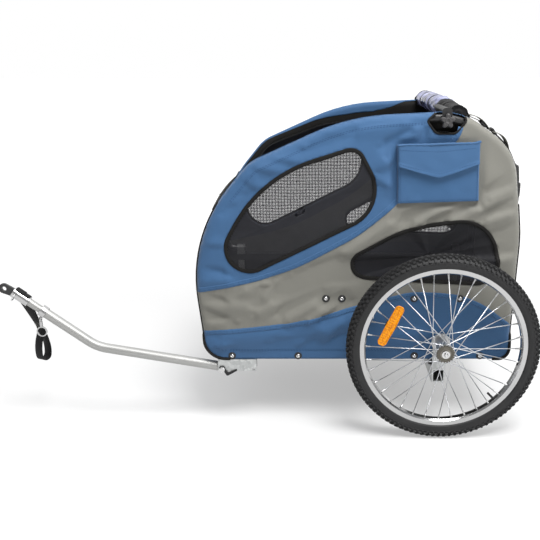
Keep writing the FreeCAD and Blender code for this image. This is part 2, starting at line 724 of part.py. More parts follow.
def make_band():
    """The cloth that joins the sides, cut into skirts below the hinges and halves that fold above."""
    owner = body("cabin_band")
    drawing = sketch_on(owner, "XZ_Plane")
    outline(drawing, side_corners)
    block = pad(owner, drawing, "2 * (%s - sheet_gap)" % panel_in, middle=True)
    doc.recompute()
    faces = enumerate(block.Shape.Faces, start=1)
    flat = ["Face%d" % index for index, face in faces if abs(face.normalAt(0, 0).y) > 0.99]
    shell = owner.newObject("PartDesign::Thickness", "cabin_shell")
    shell.Base = (block, flat)
    shell.Reversed = True
    bind(shell, Value="fabric")
    reach = panel_in + " + overrun"
    low = hinge_z["right"] + " - seam_gap - hoop_d / 2"
    front = (cabin_front + " - cabin_len", front_post)
    low_front = (cabin_front + " - cabin_len", front_post + " - rail_size / 2 - seat_gap")
    low_rear = (rear_post + " + rail_size / 2 + seat_gap", "axle_x + cabin_len")
    roof = (bar_x + " + roof_edge", "axle_x + cabin_len")
    whole = ("-(%s)" % reach, reach)
    left, right = ("-(%s)" % reach, "-door_gap / 2"), ("door_gap / 2", reach)
    skirt_rise, door_rise = ("0", low), (low + " + seam_gap", up_cabin(door_share))
    back_rise = (low + " + seam_gap", "cabin_z + 2 * cabin_rise")
    for name, x, y, z in (
        ("front_skirt", low_front, whole, skirt_rise), ("rear_skirt", low_rear, whole, skirt_rise),
        ("left_front_panel", front, left, door_rise), ("right_front_panel", front, right, door_rise),
        ("left_rear_panel", roof, left, back_rise), ("right_rear_panel", roof, right, back_rise),
    ):
        piece = doc.addObject("Part::Common", name + "_common")
        piece.Base, piece.Tool = owner, box(name + "_limits", x, y, z)
        node(piece, name)


make_band()
for side in sides:
    make_skirt(side)
    make_panel(side)
    make_mesh(side)


def make_screws():
    """Pan heads on black washers, through the skirts into the rails."""
    pieces = []
    for side, sign in sides.items():
        rows = [(share, rail_z) for share in low_screw_shares]
        rows += [(share, "(%s - hinge_rise)" % hinge_z[side]) for share in high_screw_shares]
        for share, level in rows:
            start = vector(size(along_cabin(share)), sign * size("half_width"), size(level))
            washer = vector(0, sign * size("washer_wall"), 0)
            head = vector(0, sign * size("screw_head"), 0)
            flat = prism(start, washer, size("washer_d"), screw_face_count)
            pieces.append(flat.fuse(prism(start + washer, head, size("screw_head_d"), screw_face_count)))
    shape_feature("panel_screws", Part.Compound(pieces))


make_screws()


# Folding hoops: the side outline set in, from a hinge stub at the front to one at the rear.

def inset_corners(corners, distance):
    """Corners of an outline drawn the same way round, with every side moved inwards by a distance."""
    count = len(corners)
    moved = []
    for index in range(count):
        before, here, after = corners[index - 1], corners[index], corners[(index + 1) % count]
        first, second = (here - before).normalize(), (after - here).normalize()
        inward_first, inward_second = vector(first.z, 0, -first.x), vector(second.z, 0, -second.x)
        blend = inward_first + inward_second
        moved.append(here + blend * (2 * distance / blend.dot(blend)))
    return moved


def later_corner(low, corner, after, radius, level):
    """The corner, and the way up to it, when its rounding may only start above a level."""
    way = (corner - low).normalize()
    inward = vector(way.z, 0, -way.x)
    turn = way.getAngle(after - corner)
    start = corner - way * (radius * math.tan(turn / 2))
    skip = max(0, level - start.z) / radius
    new_way = way * math.cos(skip) + inward * math.sin(skip)
    new_inward = inward * math.cos(skip) - way * math.sin(skip)
    point = start + inward * radius - new_inward * radius
    return point + new_way * (radius * math.tan((turn - skip) / 2)), new_way


def hoop_path(side):
    flat = [vector(size(across), 0, size(up)) for across, up, radius in side_corners]
    distance = size("hoop_edge + hoop_d / 2")
    inner = inset_corners(flat, distance)
    radii = [size(radius) - distance for across, up, radius in side_corners]
    level = size(hinge_z[side])
    bend = size("hoop_bend")
    shoulder, way = later_corner(inner[0], inner[1], inner[2], radii[1], level + size("hoop_leg"))
    front_foot = shoulder - way * ((shoulder.z - level) / way.z)
    rise = inner[6] - inner[7]
    rear_foot = inner[7] + rise * ((level - inner[7].z) / rise.z)
    stub = vector(size("stub_len"), 0, 0)
    points = [front_foot + stub, front_foot, shoulder] + inner[2:7] + [rear_foot, rear_foot - stub]
    y = sides[side] * size(hoop_y)
    return [vector(point.x, y, point.z) for point in points], [bend] + radii[1:7] + [bend]


for side in sides:
    points, radii = hoop_path(side)
    tube = bent_tube(points, radii, size("hoop_d"), size("hoop_wall"), hoop_face_count)
    shape_feature(side + "_hoop", tube)


# Roof bar over the hoops, star knobs on its end plates and the cover rolled round it.

bar_z = "(%s + bar_gap + bar_d / 2)" % hoop_crown
end_in = "(half_width - end_inset)"
end_out = "(half_width - end_inset + end_wall)"
knob_z = "(%s - knob_drop)" % hoop_crown


def make_roof_bar():
    owner = body("roof_bar")
    tube = sketch_on(owner, "XZ_Plane")
    circle(tube, bar_x, bar_z, "bar_d")
    pad(owner, tube, "2 * " + end_in, middle=True)
    plate = sketch_on(owner, "XZ_Plane", end_in)
    left, right = bar_x + " - end_w / 2", bar_x + " + end_w / 2"
    low, high = knob_z + " - end_low", bar_z + " + bar_d / 2"
    rounding = "end_w / 3"
    outline(plate, [
        (left, low, rounding), (right, low, rounding), (right, high, rounding), (left, high, rounding),
    ])
    circle(plate, bar_x, knob_z, "stud_d + 2 * run_gap")
    mirror(owner, [pad(owner, plate, "end_wall")])
    node(owner, "roof_bar")


def make_knob(side):
    """Five round lobes on a hub, with the stud that bears on the hoop."""
    owner = body(side + "_knob")
    flip = sides[side] > 0

    def disc(start, length, places, diameter):
        offset = "-(%s)" % start if flip else start
        drawing = sketch_on(owner, "XZ_Plane", offset, bar_x, knob_z)
        for across, up in places:
            circle(drawing, across, up, diameter)
        return pad(owner, drawing, length, reverse=flip)

    hoop_face = "(%s + hoop_d / 2 + stud_gap)" % hoop_y
    disc(hoop_face, "%s - %s" % (end_out, hoop_face), [("0", "0")], "stud_d")
    disc(end_out, "knob_neck", [("0", "0")], "knob_neck_d")
    disc(end_out + " + knob_neck", "knob_wall", [("0", "0")], "knob_d - knob_lobe_d")
    lobe_turns = [math.radians(90 + 360 * index / knob_lobe_count) for index in range(knob_lobe_count)]
    reach = "((knob_d - knob_lobe_d) / 2)"
    for turn in lobe_turns:
        spot = ("%.5f * %s" % (math.cos(turn), reach), "%.5f * %s" % (math.sin(turn), reach))
        disc(end_out + " + knob_neck", "knob_wall", [spot], "knob_lobe_d")
    node(owner, side + "_knob")


def make_roll():
    """The roof cover rolled up round the bar and drawn in by its ties."""
    owner = body("roof_roll")
    drawing = sketch_on(owner, "XY_Plane", bar_z, bar_x)
    half = "(%s - hoop_d / 2 - 2 * roll_gap)" % hoop_y
    wide, drawn = "roll_d / 2", "roll_d / 2 - roll_tie"
    inner = "bar_d / 2 + roll_gap"
    profile = [(inner, "-" + half), (drawn, "-" + half)]
    for share in tie_shares:
        middle = "%s * %s" % (share, half)
        profile += [(wide, middle + " - roll_tie_w"), (drawn, middle), (wide, middle + " + roll_tie_w")]
    profile += [(drawn, half), (inner, half)]
    outline(drawing, [(across, up, "") for across, up in profile])
    revolve(owner, drawing)
    node(owner, "roof_roll")


make_roof_bar()
make_roll()
for side in sides:
    make_knob(side)


# Pocket on the left side, open at the front under its flap.

pocket_front = along_cabin(pocket_share)
pocket_top = "(%s - pocket_drop)" % hoop_crown
pocket_low = "(%s - pocket_rise)" % pocket_top


def make_pocket():
    owner = body("pocket")
    far = pocket_front + " + pocket_len"
    drawing = sketch_on(owner, "XZ_Plane", "half_width")
    outline(drawing, [
        (pocket_front, pocket_low, ""), (far, pocket_low, ""),
        (far, pocket_top, ""), (pocket_front, pocket_top, ""),
    ])
    pad(owner, drawing, "pocket_depth")
    room = sketch_on(owner, "XZ_Plane", "half_width + pocket_wall")
    wall_near, wall_far = pocket_front + " + pocket_wall", far + " - pocket_wall"
    low, high = pocket_low + " + pocket_wall", pocket_top + " - pocket_wall"
    outline(room, [(wall_near, low, ""), (wall_far, low, ""), (wall_far, high, ""), (wall_near, high, "")])
    inside = pocket(owner, room, "pocket_depth - 2 * pocket_wall", reverse=True)
    mouth = sketch_on(owner, "XZ_Plane", "half_width + pocket_wall")
    near, back = pocket_front + " + mouth_inset", far + " - mouth_inset"
    sill = high + " - mouth_rise"
    outline(mouth, [(near, sill, ""), (back, sill, ""), (back, high, ""), (near, high, "")])
    pocket(owner, mouth, "pocket_depth", reverse=True)
    node(owner, "pocket")


def make_flap():
    """A pointed flap that hangs over the pocket's mouth."""
    owner = body("pocket_flap")
    far = pocket_front + " + pocket_len"
    drawing = sketch_on(owner, "XZ_Plane", "half_width + pocket_depth + seat_gap")
    side_low, tip = pocket_top + " - flap_side", pocket_top + " - flap_tip"
    outline(drawing, [
        (pocket_front, pocket_top, ""), (pocket_front, side_low, ""),
        (pocket_front + " + pocket_len / 2", tip, "flap_tip * %s" % flap_round_share),
        (far, side_low, ""), (far, pocket_top, ""),
    ])
    pad(owner, drawing, "flap_wall")
    node(owner, "pocket_flap")


make_pocket()
make_flap()


# Tow bracket under the left rail, and the pin that the arm turns on.

pivot_x = "(%s + tow_inset)" % cabin_front
pivot_z = "(%s - tow_drop)" % rail_low
arm_y = "(half_width - arm_inset)"
cheek_in = "(arm_d / 2 + arm_slack)"
cheek_out = "(arm_d / 2 + arm_slack + bracket_wall)"


def make_bracket():
    front, rear = pivot_x + " - bracket_front", pivot_x + " + bracket_rear"
    low = pivot_z + " - bracket_low"
    outer_y = ("-%s - %s" % (arm_y, cheek_out), "-%s + %s" % (arm_y, cheek_out))
    inner_y = ("-%s - %s" % (arm_y, cheek_in), "-%s + %s" % (arm_y, cheek_in))
    outer = box("bracket_outer", (front, rear), outer_y, (low, rail_low))
    inner = box(
        "bracket_inner", (front + " - overrun", rear + " + overrun"), inner_y,
        (low + " - overrun", rail_low + " - bracket_wall"),
    )
    channel = cut("bracket_channel", outer, inner)
    across = "2 * %s + 2 * overrun" % cheek_out
    side_y = outer_y[0] + " - overrun"
    way = vector(0, 1, 0)
    spare_x = rear + " - bracket_low"
    pin_hole = rod("bracket_pin_hole", (pivot_x, side_y, pivot_z), "pin_d + 2 * run_gap", across, way)
    spare_hole = rod("bracket_spare_hole", (spare_x, side_y, pivot_z), "bracket_hole_d", across, way)
    node(cut("bracket_holes", cut("bracket_pinned", channel, pin_hole), spare_hole), "tow_bracket")


def make_tow_pin():
    owner = body("tow_pin")
    drawing = sketch_on(owner, "XY_Plane", pivot_z, pivot_x)
    seat = "(-%s - %s - clip_wall - 2 * seat_gap)" % (arm_y, cheek_out)
    inner = "-%s + %s + pin_spare" % (arm_y, cheek_out)
    outline(drawing, [
        ("0", inner, ""), ("pin_d / 2", inner, ""), ("pin_d / 2", seat, ""), ("pin_head_d / 2", seat, ""),
        ("pin_head_d / 2", seat + " - pin_head / 2", ""), ("pin_head_d / 3", seat + " - pin_head", ""),
        ("0", seat + " - pin_head", ""),
    ])
    revolve(owner, drawing)
    node(owner, "tow_pin")


def make_pin_clip():
    """The rubber clip under the pin's head, hanging in a V."""
    owner = body("tow_pin_clip")
    start = "%s + %s + seat_gap" % (arm_y, cheek_out)
    tail = sketch_on(owner, "XZ_Plane", start, pivot_x, pivot_z)
    bar, ring, tip = "clip_bar", "clip_ring_d / 2", "clip_bar / 3"
    knee, fork = "%s * %s" % (ring, clip_knee_share), "%s * %s" % (ring, clip_fork_share)
    outline(tail, [
        (ring + " - " + bar, "-" + bar, ""), (knee, "-clip_drop", tip),
        (knee + " + " + bar, "-clip_drop", tip), ("clip_reach", "-" + bar, tip),
        ("clip_reach", "0", tip), (fork, "-clip_drop / 2", ""), (ring, "0", ""),
    ])
    pad(owner, tail, "clip_wall")
    ring_sketch = sketch_on(owner, "XZ_Plane", start, pivot_x, pivot_z)
    circle(ring_sketch, "0", "0", "clip_ring_d")
    pad(owner, ring_sketch, "clip_wall")
    hole = sketch_on(owner, "XZ_Plane", start, pivot_x, pivot_z)
    circle(hole, "0", "0", "pin_d + 2 * seat_gap")
    pocket(owner, hole, "clip_wall", reverse=True)
    node(owner, "tow_pin_clip")


make_bracket()
make_tow_pin()
make_pin_clip()


# Tow arm, bent up once, with the coupler and the hitch eye on its end.

pivot = vector(size(pivot_x), -size(arm_y), size(pivot_z))
low_turn, high_turn = math.radians(size("arm_rise_angle")), math.radians(size("arm_tip_angle"))
low_way = vector(-math.cos(low_turn), 0, math.sin(low_turn))
high_way = vector(-math.cos(high_turn), 0, math.sin(high_turn))
under = vector(-high_way.z, 0, high_way.x)
bend = pivot + low_way * size("arm_run")


def on_arm(item):
    """Place a piece drawn along its Z axis on the arm's tip, which starts at the bend."""
    sideways = vector(0, -1, 0)
    turn = FreeCAD.Rotation(sideways.cross(high_way), sideways, high_way, "ZXY")
    item.Placement = FreeCAD.Placement(bend, turn)
    return item


def make_arm():
    points = [pivot - low_way * size("arm_tail"), bend, bend + high_way * size("arm_tip")]
    tube = bent_tube(points, [size("arm_bend")], size("arm_d"), size("arm_wall"))
    reach = size("arm_d + overrun")
    start = pivot - vector(0, reach, 0)
    hole = Part.makeCylinder(size("pin_d / 2 + run_gap"), 2 * reach, start, vector(0, 1, 0))
    shape_feature("tow_arm", tube.cut(hole))


def make_collar():
    owner = body("arm_collar")
    drawing = sketch_on(owner, "XZ_Plane")
    inner, outer = "arm_d / 2 + seat_gap", "arm_collar_d / 2"
    outline(drawing, [
        (inner, "arm_tip - collar_back", ""), (outer, "arm_tip - collar_back", ""),
        (outer, "arm_tip", ""), (inner, "arm_tip", ""),
    ])
    revolve(owner, drawing)
    on_arm(node(owner, "arm_collar"))


def make_coupler():
    owner = body("coupler_tube")
    drawing = sketch_on(owner, "XZ_Plane")
    outer, inner = "coupler_d / 2", "coupler_d / 2 - coupler_wall"
    outline(drawing, [
        (inner, "coupler_start", ""), (outer, "coupler_start", ""),
        (outer, "coupler_end", ""), (inner, "coupler_end", ""),
    ])
    revolve(owner, drawing)
    on_arm(node(owner, "coupler_tube"))


def make_sleeve():
    """The sleeve over the coupler tube, forked at its end for the hitch eye."""
    owner = body("coupler_sleeve")
    drawing = sketch_on(owner, "XZ_Plane")
    bore, outer, band = "coupler_d / 2 + sleeve_gap", "sleeve_d / 2", "band_d / 2"
    shoulder = "sleeve_end - band_len"
    outline(drawing, [
        (bore, "sleeve_start", ""), (outer, "sleeve_start", ""), (outer, shoulder, ""), (band, shoulder, ""),
        (band, "sleeve_end", ""), (bore, "sleeve_end", ""),
    ])
    revolve(owner, drawing)
    fork = sketch_on(owner, "YZ_Plane", "-band_d")
    half = "(eye_wall / 2 + arm_slack)"
    outline(fork, [
        ("-" + half, "sleeve_end - hitch_slot", ""), (half, "sleeve_end - hitch_slot", ""),
        (half, "sleeve_end + overrun", ""), ("-" + half, "sleeve_end + overrun", ""),
    ])
    pocket(owner, fork, "2 * band_d", reverse=True)
    hole = sketch_on(owner, "XZ_Plane", "-band_d")
    circle(hole, "0", "hitch_pin_at", "hitch_pin_d + 2 * run_gap")
    pocket(owner, hole, "2 * band_d", reverse=True)
    on_arm(node(owner, "coupler_sleeve"))


def make_hitch_pin():
    owner = body("hitch_pin")
    drawing = sketch_on(owner, "XZ_Plane", "-hitch_pin_len / 2")
    circle(drawing, "0", "hitch_pin_at", "hitch_pin_d")
    pad(owner, drawing, "hitch_pin_len")
    on_arm(node(owner, "hitch_pin"))


hitch_point = bend + high_way * size("hitch_pin_at")


def make_eye():
    """A flat eye for the bike's rear axle, on the hitch pin."""
    owner = body("hitch_eye")
    drawing = sketch_on(owner, "XZ_Plane", "-eye_wall / 2")
    small, large = "shank_d / 2", "eye_d / 2"
    back, front = "-shank_d / 2", "eye_reach + eye_d / 2"
    small_round, large_round = "shank_d * %s" % eye_round_share, "eye_d * %s" % eye_round_share
    outline(drawing, [
        (back, "-" + small, small_round), (front, "-" + large, large_round),
        (front, large, large_round), (back, small, small_round),
    ])
    circle(drawing, "0", "0", "hitch_pin_d + 2 * run_gap")
    circle(drawing, "eye_reach", "0", "eye_bore_d")
    pad(owner, drawing, "eye_wall")
    node(owner, "hitch_eye")
    tilt = FreeCAD.Rotation(vector(0, 1, 0), -size("eye_rise_angle"))
    owner.Placement = FreeCAD.Placement(hitch_point, FreeCAD.Rotation(vector(0, 0, 1), 180).multiply(tilt))


def make_hitch_clip():
    """A bent wire under the sleeve that keeps the hitch pin in."""
    owner = body("hitch_clip")
    drawing = sketch_on(owner, "YZ_Plane", "-wire_d / 2")
    top, knee, low = "-hitch_pin_d / 2 - seat_gap", "-wire_knee", "-wire_drop"
    inner, outer, bow = "(band_d / 2 + wire_gap)", "(band_d / 2 + wire_gap + wire_d)", "wire_d"
    crook = "%s + %s * wire_d" % (low, wire_bow_share)
    outline(drawing, [
        ("-" + outer, top, ""), ("-" + outer, knee, bow), ("0", low, bow), (outer, knee, bow),
        (outer, top, ""), (inner, top, ""),
        (inner, knee, bow), ("0", crook, bow), ("-" + inner, knee, bow), ("-" + inner, top, ""),
    ])
    pad(owner, drawing, "wire_d")
    node(owner, "hitch_clip")
    owner.Placement = FreeCAD.Placement(hitch_point, FreeCAD.Rotation(vector(0, 1, 0), size("arm_tip_angle")))


make_arm()
make_collar()
make_coupler()
make_sleeve()
make_hitch_pin()
make_eye()
make_hitch_clip()


# Safety strap: a doubled band from under the sleeve and a hand loop, drawn edge on and padded to its width.

strap_top = bend + high_way * size("strap_at") + under * size("sleeve_d / 2 - strap_sink")


def make_strap():
    owner = body("safety_strap")
    drawing = sketch_on(owner, "XZ_Plane", "-strap_w / 2")
    half, spread = "strap_wall", "strap_spread / 2"
    foot = "%s * %s" % (spread, foot_share)
    neck, lowest = "-strap_band", "-strap_band - strap_loop"
    belly = "-strap_band - strap_loop * %s" % belly_share
    knee = "strap_spread * %s" % loop_round_share
    outline(drawing, [
        ("-" + half, "0", ""), ("strap_lean - " + half, neck, knee), ("strap_lean - " + spread, belly, knee),
        ("strap_lean - " + foot, lowest, knee), ("strap_lean + " + foot, lowest, knee),
        ("strap_lean + " + spread, belly, knee), ("strap_lean + " + half, neck, knee), (half, "0", ""),
    ])
    inner = "(strap_spread / 2 - strap_wall)"
    inner_foot = "%s * %s" % (inner, foot_share)
    slit = "strap_spread * %s" % slit_round_share
    outline(drawing, [
        ("strap_lean", "%s - strap_spread * %s" % (neck, slit_share), ""),
        ("strap_lean - " + inner, belly, slit),
        ("strap_lean - " + inner_foot, lowest + " + strap_wall", slit),
        ("strap_lean + " + inner_foot, lowest + " + strap_wall", slit),
        ("strap_lean + " + inner, belly, slit),
    ])
    pad(owner, drawing, "strap_w")
    turn = FreeCAD.Rotation(vector(0, 0, 1), size("strap_turn_angle"))
    owner.Placement = FreeCAD.Placement(strap_top, turn)
    wrap = body("strap_wrap")
    section = sketch_on(wrap, "XZ_Plane")
    bore = "(sleeve_d / 2 + seat_gap)"
    near, far = "strap_at - strap_w / 2", "strap_at + strap_w / 2"
    outer = bore + " + strap_wall"
    outline(section, [(bore, near, ""), (outer, near, ""), (outer, far, ""), (bore, far, "")])
    revolve(wrap, section)
    on_arm(wrap)
    room = on_arm(bind(doc.addObject("Part::Cylinder", "strap_bore"), Radius=bore, Height="2 * strap_at"))
    joined = doc.addObject("Part::Fuse", "strap_joined")
    joined.Base, joined.Tool = cut("strap_trimmed", owner, room), wrap
    node(joined, "safety_strap")


def make_hook():
    """A swivel snap hook that hangs from the collar: eye, barrel and hook."""
    wire, eye, hook = size("hook_wire_d"), size("hook_eye_d"), size("hook_d")
    barrel_r, barrel = size("hook_barrel_d / 2"), size("hook_barrel")
    middle = Part.makeCylinder(barrel_r, barrel, vector(0, 0, wire / 2 - eye - barrel), vector(0, 0, 1))
    rings = []
    for outer, centre, way in (
        (eye / 2, -eye / 2, vector(1, 0, 0)), (hook / 2, wire - eye - barrel - hook / 2, vector(0, 1, 0)),
    ):
        start = vector(0, 0, centre) - way * (wire / 2)
        inside = Part.makeCylinder(outer - wire, wire, start, way)
        rings.append(Part.makeCylinder(outer, wire, start, way).cut(inside))
    feature = shape_feature("snap_hook", middle.fuse(rings).removeSplitter())
    collar = bend + high_way * size("arm_tip - collar_back / 2")
    feature.Placement.Base = collar + under * size("arm_collar_d / 2 + hook_gap")


make_strap()
make_hook()

doc.recompute()
for item in doc.Objects:
    if "Invalid" in item.State or "Error" in item.State:
        raise ValueError("%s failed: %s" % (item.Label, item.State))
for name, item in nodes.items():
    if item.Shape.isNull() or not item.Shape.isValid():
        raise ValueError(name + " has no valid shape")

os.makedirs("parts", exist_ok=True)
for name, item in nodes.items():
    item.Shape.exportStep("parts/%s.step" % name)
print(len(nodes), "nodes,", sum(len(item.Shape.Solids) for item in nodes.values()), "solids")
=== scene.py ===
import math

import bpy
import numpy as np
from mathutils import Matrix, Vector, geometry, noise


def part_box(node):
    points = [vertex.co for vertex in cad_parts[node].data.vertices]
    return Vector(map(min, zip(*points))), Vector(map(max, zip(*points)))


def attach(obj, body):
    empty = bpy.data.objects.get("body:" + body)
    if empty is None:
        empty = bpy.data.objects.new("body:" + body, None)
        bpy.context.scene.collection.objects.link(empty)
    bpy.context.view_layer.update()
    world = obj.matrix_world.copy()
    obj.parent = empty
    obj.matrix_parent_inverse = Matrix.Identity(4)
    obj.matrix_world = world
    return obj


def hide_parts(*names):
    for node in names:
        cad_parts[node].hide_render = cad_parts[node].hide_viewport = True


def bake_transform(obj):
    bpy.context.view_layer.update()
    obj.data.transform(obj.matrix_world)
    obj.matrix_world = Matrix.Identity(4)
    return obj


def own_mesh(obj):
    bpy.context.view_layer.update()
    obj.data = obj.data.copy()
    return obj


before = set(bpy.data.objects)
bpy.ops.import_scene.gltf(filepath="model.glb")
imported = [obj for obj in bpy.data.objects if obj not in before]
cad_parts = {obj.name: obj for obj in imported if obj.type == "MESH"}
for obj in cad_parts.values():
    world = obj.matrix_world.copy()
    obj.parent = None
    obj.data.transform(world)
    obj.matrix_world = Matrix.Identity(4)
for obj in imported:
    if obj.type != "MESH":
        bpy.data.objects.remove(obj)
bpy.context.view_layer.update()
tyreLow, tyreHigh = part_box("left_tyre")
axleX = (tyreLow.x + tyreHigh.x) / 2
wheelY = -(tyreLow.y + tyreHigh.y) / 2
wheelZ = (tyreLow.z + tyreHigh.z) / 2
sideSign = {"left": -1, "right": 1}  # the left side faces the camera, towards -Y
crossways = Vector((0, 1, 0))
print("frame loaded with", len(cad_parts), "nodes")

# Camera at the photograph's angle

camera = {"place": (0.1376, -2.02, 0.9484), "tilt": 73.45, "lens": 48, "sensor": 36, "shift": -0.0926}


def setCamera():
    lens = bpy.data.cameras.new("photoCamera")
    lens.lens = camera["lens"]
    lens.sensor_width = camera["sensor"]
    lens.shift_x = camera["shift"]
    holder = bpy.data.objects.new("photoCamera", lens)
    holder.location = camera["place"]
    holder.rotation_euler = (math.radians(camera["tilt"]), 0, 0)
    bpy.context.scene.collection.objects.link(holder)
    bpy.context.scene.camera = holder


setCamera()


# Finishes: a wire is one output of a node, and sums on it add Math nodes

def sumOf(operation, turned=False):
    def made(self, other):
        return self.sum(operation, *((other, self) if turned else (self, other)))
    return made


class Wire:
    def __init__(self, finish, socket):
        self.finish = finish
        self.socket = socket

    def sum(self, operation, *values):
        return self.finish.add("ShaderNodeMath", {"operation": operation}, dict(enumerate(values)))

    __add__, __radd__ = sumOf("ADD"), sumOf("ADD", True)
    __sub__, __rsub__ = sumOf("SUBTRACT"), sumOf("SUBTRACT", True)
    __mul__, __rmul__ = sumOf("MULTIPLY"), sumOf("MULTIPLY", True)
    __truediv__, __rtruediv__ = sumOf("DIVIDE"), sumOf("DIVIDE", True)
    __pow__, __rpow__ = sumOf("POWER"), sumOf("POWER", True)
    __lt__, __gt__ = sumOf("LESS_THAN"), sumOf("GREATER_THAN")
    largest = sumOf("MAXIMUM")

    def __abs__(self):
        return self.sum("ABSOLUTE", self)

    def sine(self):
        return self.sum("SINE", self)

    def fraction(self):
        return self.sum("FRACT", self)

    def part(self, axis):
        return self.finish.add("ShaderNodeSeparateXYZ", None, {0: self}, axis)


class Finish:
    def __init__(self, owner, shader="Principled BSDF", **fixed):
        owner.use_nodes = True
        self.owner = owner
        self.tree = owner.node_tree
        self.shader = self.tree.nodes[shader]
        for key, value in fixed.items():
            self.shader.inputs[socketNames[key]].default_value = value

    def add(self, kind, settings=None, inputs=None, output=0):
        made = self.tree.nodes.new(kind)
        for key, value in (settings or {}).items():
            if key == "stops":
                ramp = made.color_ramp
                ramp.elements.remove(ramp.elements[1])
                ramp.elements[0].position, ramp.elements[0].color = value[0][0], (*value[0][1], 1)
                for place, colour in value[1:]:
                    ramp.elements.new(place).color = (*colour, 1)
            else:
                setattr(made, key, value)
        for key, value in (inputs or {}).items():
            if isinstance(value, Wire):
                self.tree.links.new(value.socket, made.inputs[key])
            else:
                made.inputs[key].default_value = value
        return Wire(self, made.outputs[output])

    def where(self):
        return self.add("ShaderNodeTexCoord", None, None, "Object")

    def flat(self):
        return self.add("ShaderNodeUVMap", {"uv_map": "flat"})

    def cloudy(self, place, scale, detail=4, rough=0.55):
        return self.add("ShaderNodeTexNoise", None, {
            "Vector": place, "Scale": scale, "Detail": detail, "Roughness": rough,
        })

    def cells(self, place, scale, feature="F1", output=0):
        inputs = {"Vector": place, "Scale": scale}
        return self.add("ShaderNodeTexVoronoi", {"feature": feature}, inputs, output)

    def spread(self, value, span, ends, curve="LINEAR"):
        return self.add("ShaderNodeMapRange", {"interpolation_type": curve}, {
            "Value": value, "From Min": span[0], "From Max": span[1], "To Min": ends[0], "To Max": ends[1],
        })

    def mix(self, share, first, second):
        first = first if isinstance(first, Wire) else (*first, 1)
        second = second if isinstance(second, Wire) else (*second, 1)
        return self.add("ShaderNodeMix", {"data_type": "RGBA"}, {0: share, 6: first, 7: second}, 2)

    def ramp(self, value, stops):
        return self.add("ShaderNodeValToRGB", {"stops": stops}, {0: value})

    def shades(self, share, colour, dark, pale):
        return self.mix(share, shade(colour, dark), shade(colour, pale))

    def feed(self, **links):
        for key, value in links.items():
            self.tree.links.new(value.socket, self.shader.inputs[socketNames[key]])
        return self.owner

    def coat(self, tone, rough, height, depth, strength):
        # colour, roughness and relief
        relief = {"Height": height, "Distance": depth, "Strength": strength}
        return self.feed(colour=tone, roughness=rough, normal=self.add("ShaderNodeBump", None, relief))


socketNames = {
    "colour": "Base Color", "roughness": "Roughness", "metallic": "Metallic", "normal": "Normal",
    "alpha": "Alpha", "coat": "Coat Weight", "coatRough": "Coat Roughness", "sheen": "Sheen Weight",
    "sheenRough": "Sheen Roughness", "emission": "Emission Color", "glow": "Emission Strength",
    "specular": "Specular IOR Level", "grain": "Anisotropic",
}


def newFinish(name, **fixed):
    return Finish(bpy.data.materials.new(name), **fixed)


def paint(red, green, blue):
    # screen colour from 0 to 255 as linear light
    return tuple(
        c / 255 / 12.92 if c < 10.3 else ((c / 255 + 0.055) / 1.055) ** 2.4 for c in (red, green, blue)
    )


def shade(colour, share):
    return tuple(c * share for c in colour)


def wovenCloth(name, colour, thread=0.0011, fade=0.10, rough=0.72):
    # plain weave from the cloth's own flat length and width
    made = newFinish(name, sheen=0.12, sheenRough=0.5, specular=0.35)
    flat, place = made.flat(), made.where()
    warp, weft = [(flat.part(axis) * (2 * math.pi / thread)).sine() for axis in (0, 1)]
    weave = warp * weft
    ribs = abs(warp).largest(abs(weft))
    patches = made.cloudy(place, scale=9, detail=5)
    flecks = made.cloudy(place, scale=420, detail=2)
    pale = made.shades(patches * 1.6 - 0.35, colour, 1 - fade, 1 + fade)
    # the weave term in the colour follows the thread relief: painted highlight on the raised threads and
    # painted shade between them; the patches and flecks are the cloth's own uneven tone
    threads = made.mix(weave * 0.22 + flecks * 0.3 + 0.18, shade(colour, 0.82), pale)
    height = ribs * 0.6 + weave * 0.4 + flecks * 0.5
    return made.coat(threads, patches * 0.14 + (rough - 0.07), height, depth=0.00022, strength=0.55)


def tapeCloth(name, colour, rib=0.0016, rough=0.6):
    # grosgrain binding: ribs across the tape
    made = newFinish(name, sheen=0.02, specular=0.15)
    flat = made.flat()
    ribs = abs((flat.part(0) * (math.pi / rib)).sine())
    edge = abs((flat.part(1) * (math.pi / rib * 0.7)).sine())
    wear = made.cloudy(made.where(), scale=60)
    # the ribs make the colour lighter on their crests and darker in their grooves: painted highlight and
    # painted shade; the wear noise is real wear
    tone = made.shades(ribs * 0.4 + wear * 0.5, colour, 0.6, 1.5)
    return made.coat(tone, wear * 0.2 + (rough - 0.1), ribs * 0.8 + edge * 0.3, depth=0.0004, strength=0.7)


def netting(name, colour, pitch=0.0023, thread=0.38):
    # square net: open between the threads
    made = newFinish(name, roughness=0.7, specular=0.3)
    flat = made.flat()
    across, along = [(flat.part(axis) / pitch).fraction() for axis in (0, 1)]
    held = (across < thread).largest(along < thread)
    tone = made.shades(made.cloudy(made.where(), scale=30, detail=3), colour, 0.7, 1.4)
    return made.feed(colour=tone, alpha=held)


def brightMetal(name, colour, rough, streak=0.0, wear=0.06, spots=40, relief=0.00006):
    made = newFinish(name, metallic=1.0)
    place = made.where()
    haze = made.cloudy(place, scale=spots, detail=5, rough=0.6)
    fine = made.cloudy(place, scale=900, detail=2)
    tone = made.shades(haze, colour, 1 - wear, 1)
    roughness = haze * 0.12 + fine * streak + (rough - 0.06)
    return made.coat(tone, roughness, fine * 0.5 + haze * 0.5, depth=relief, strength=0.5)


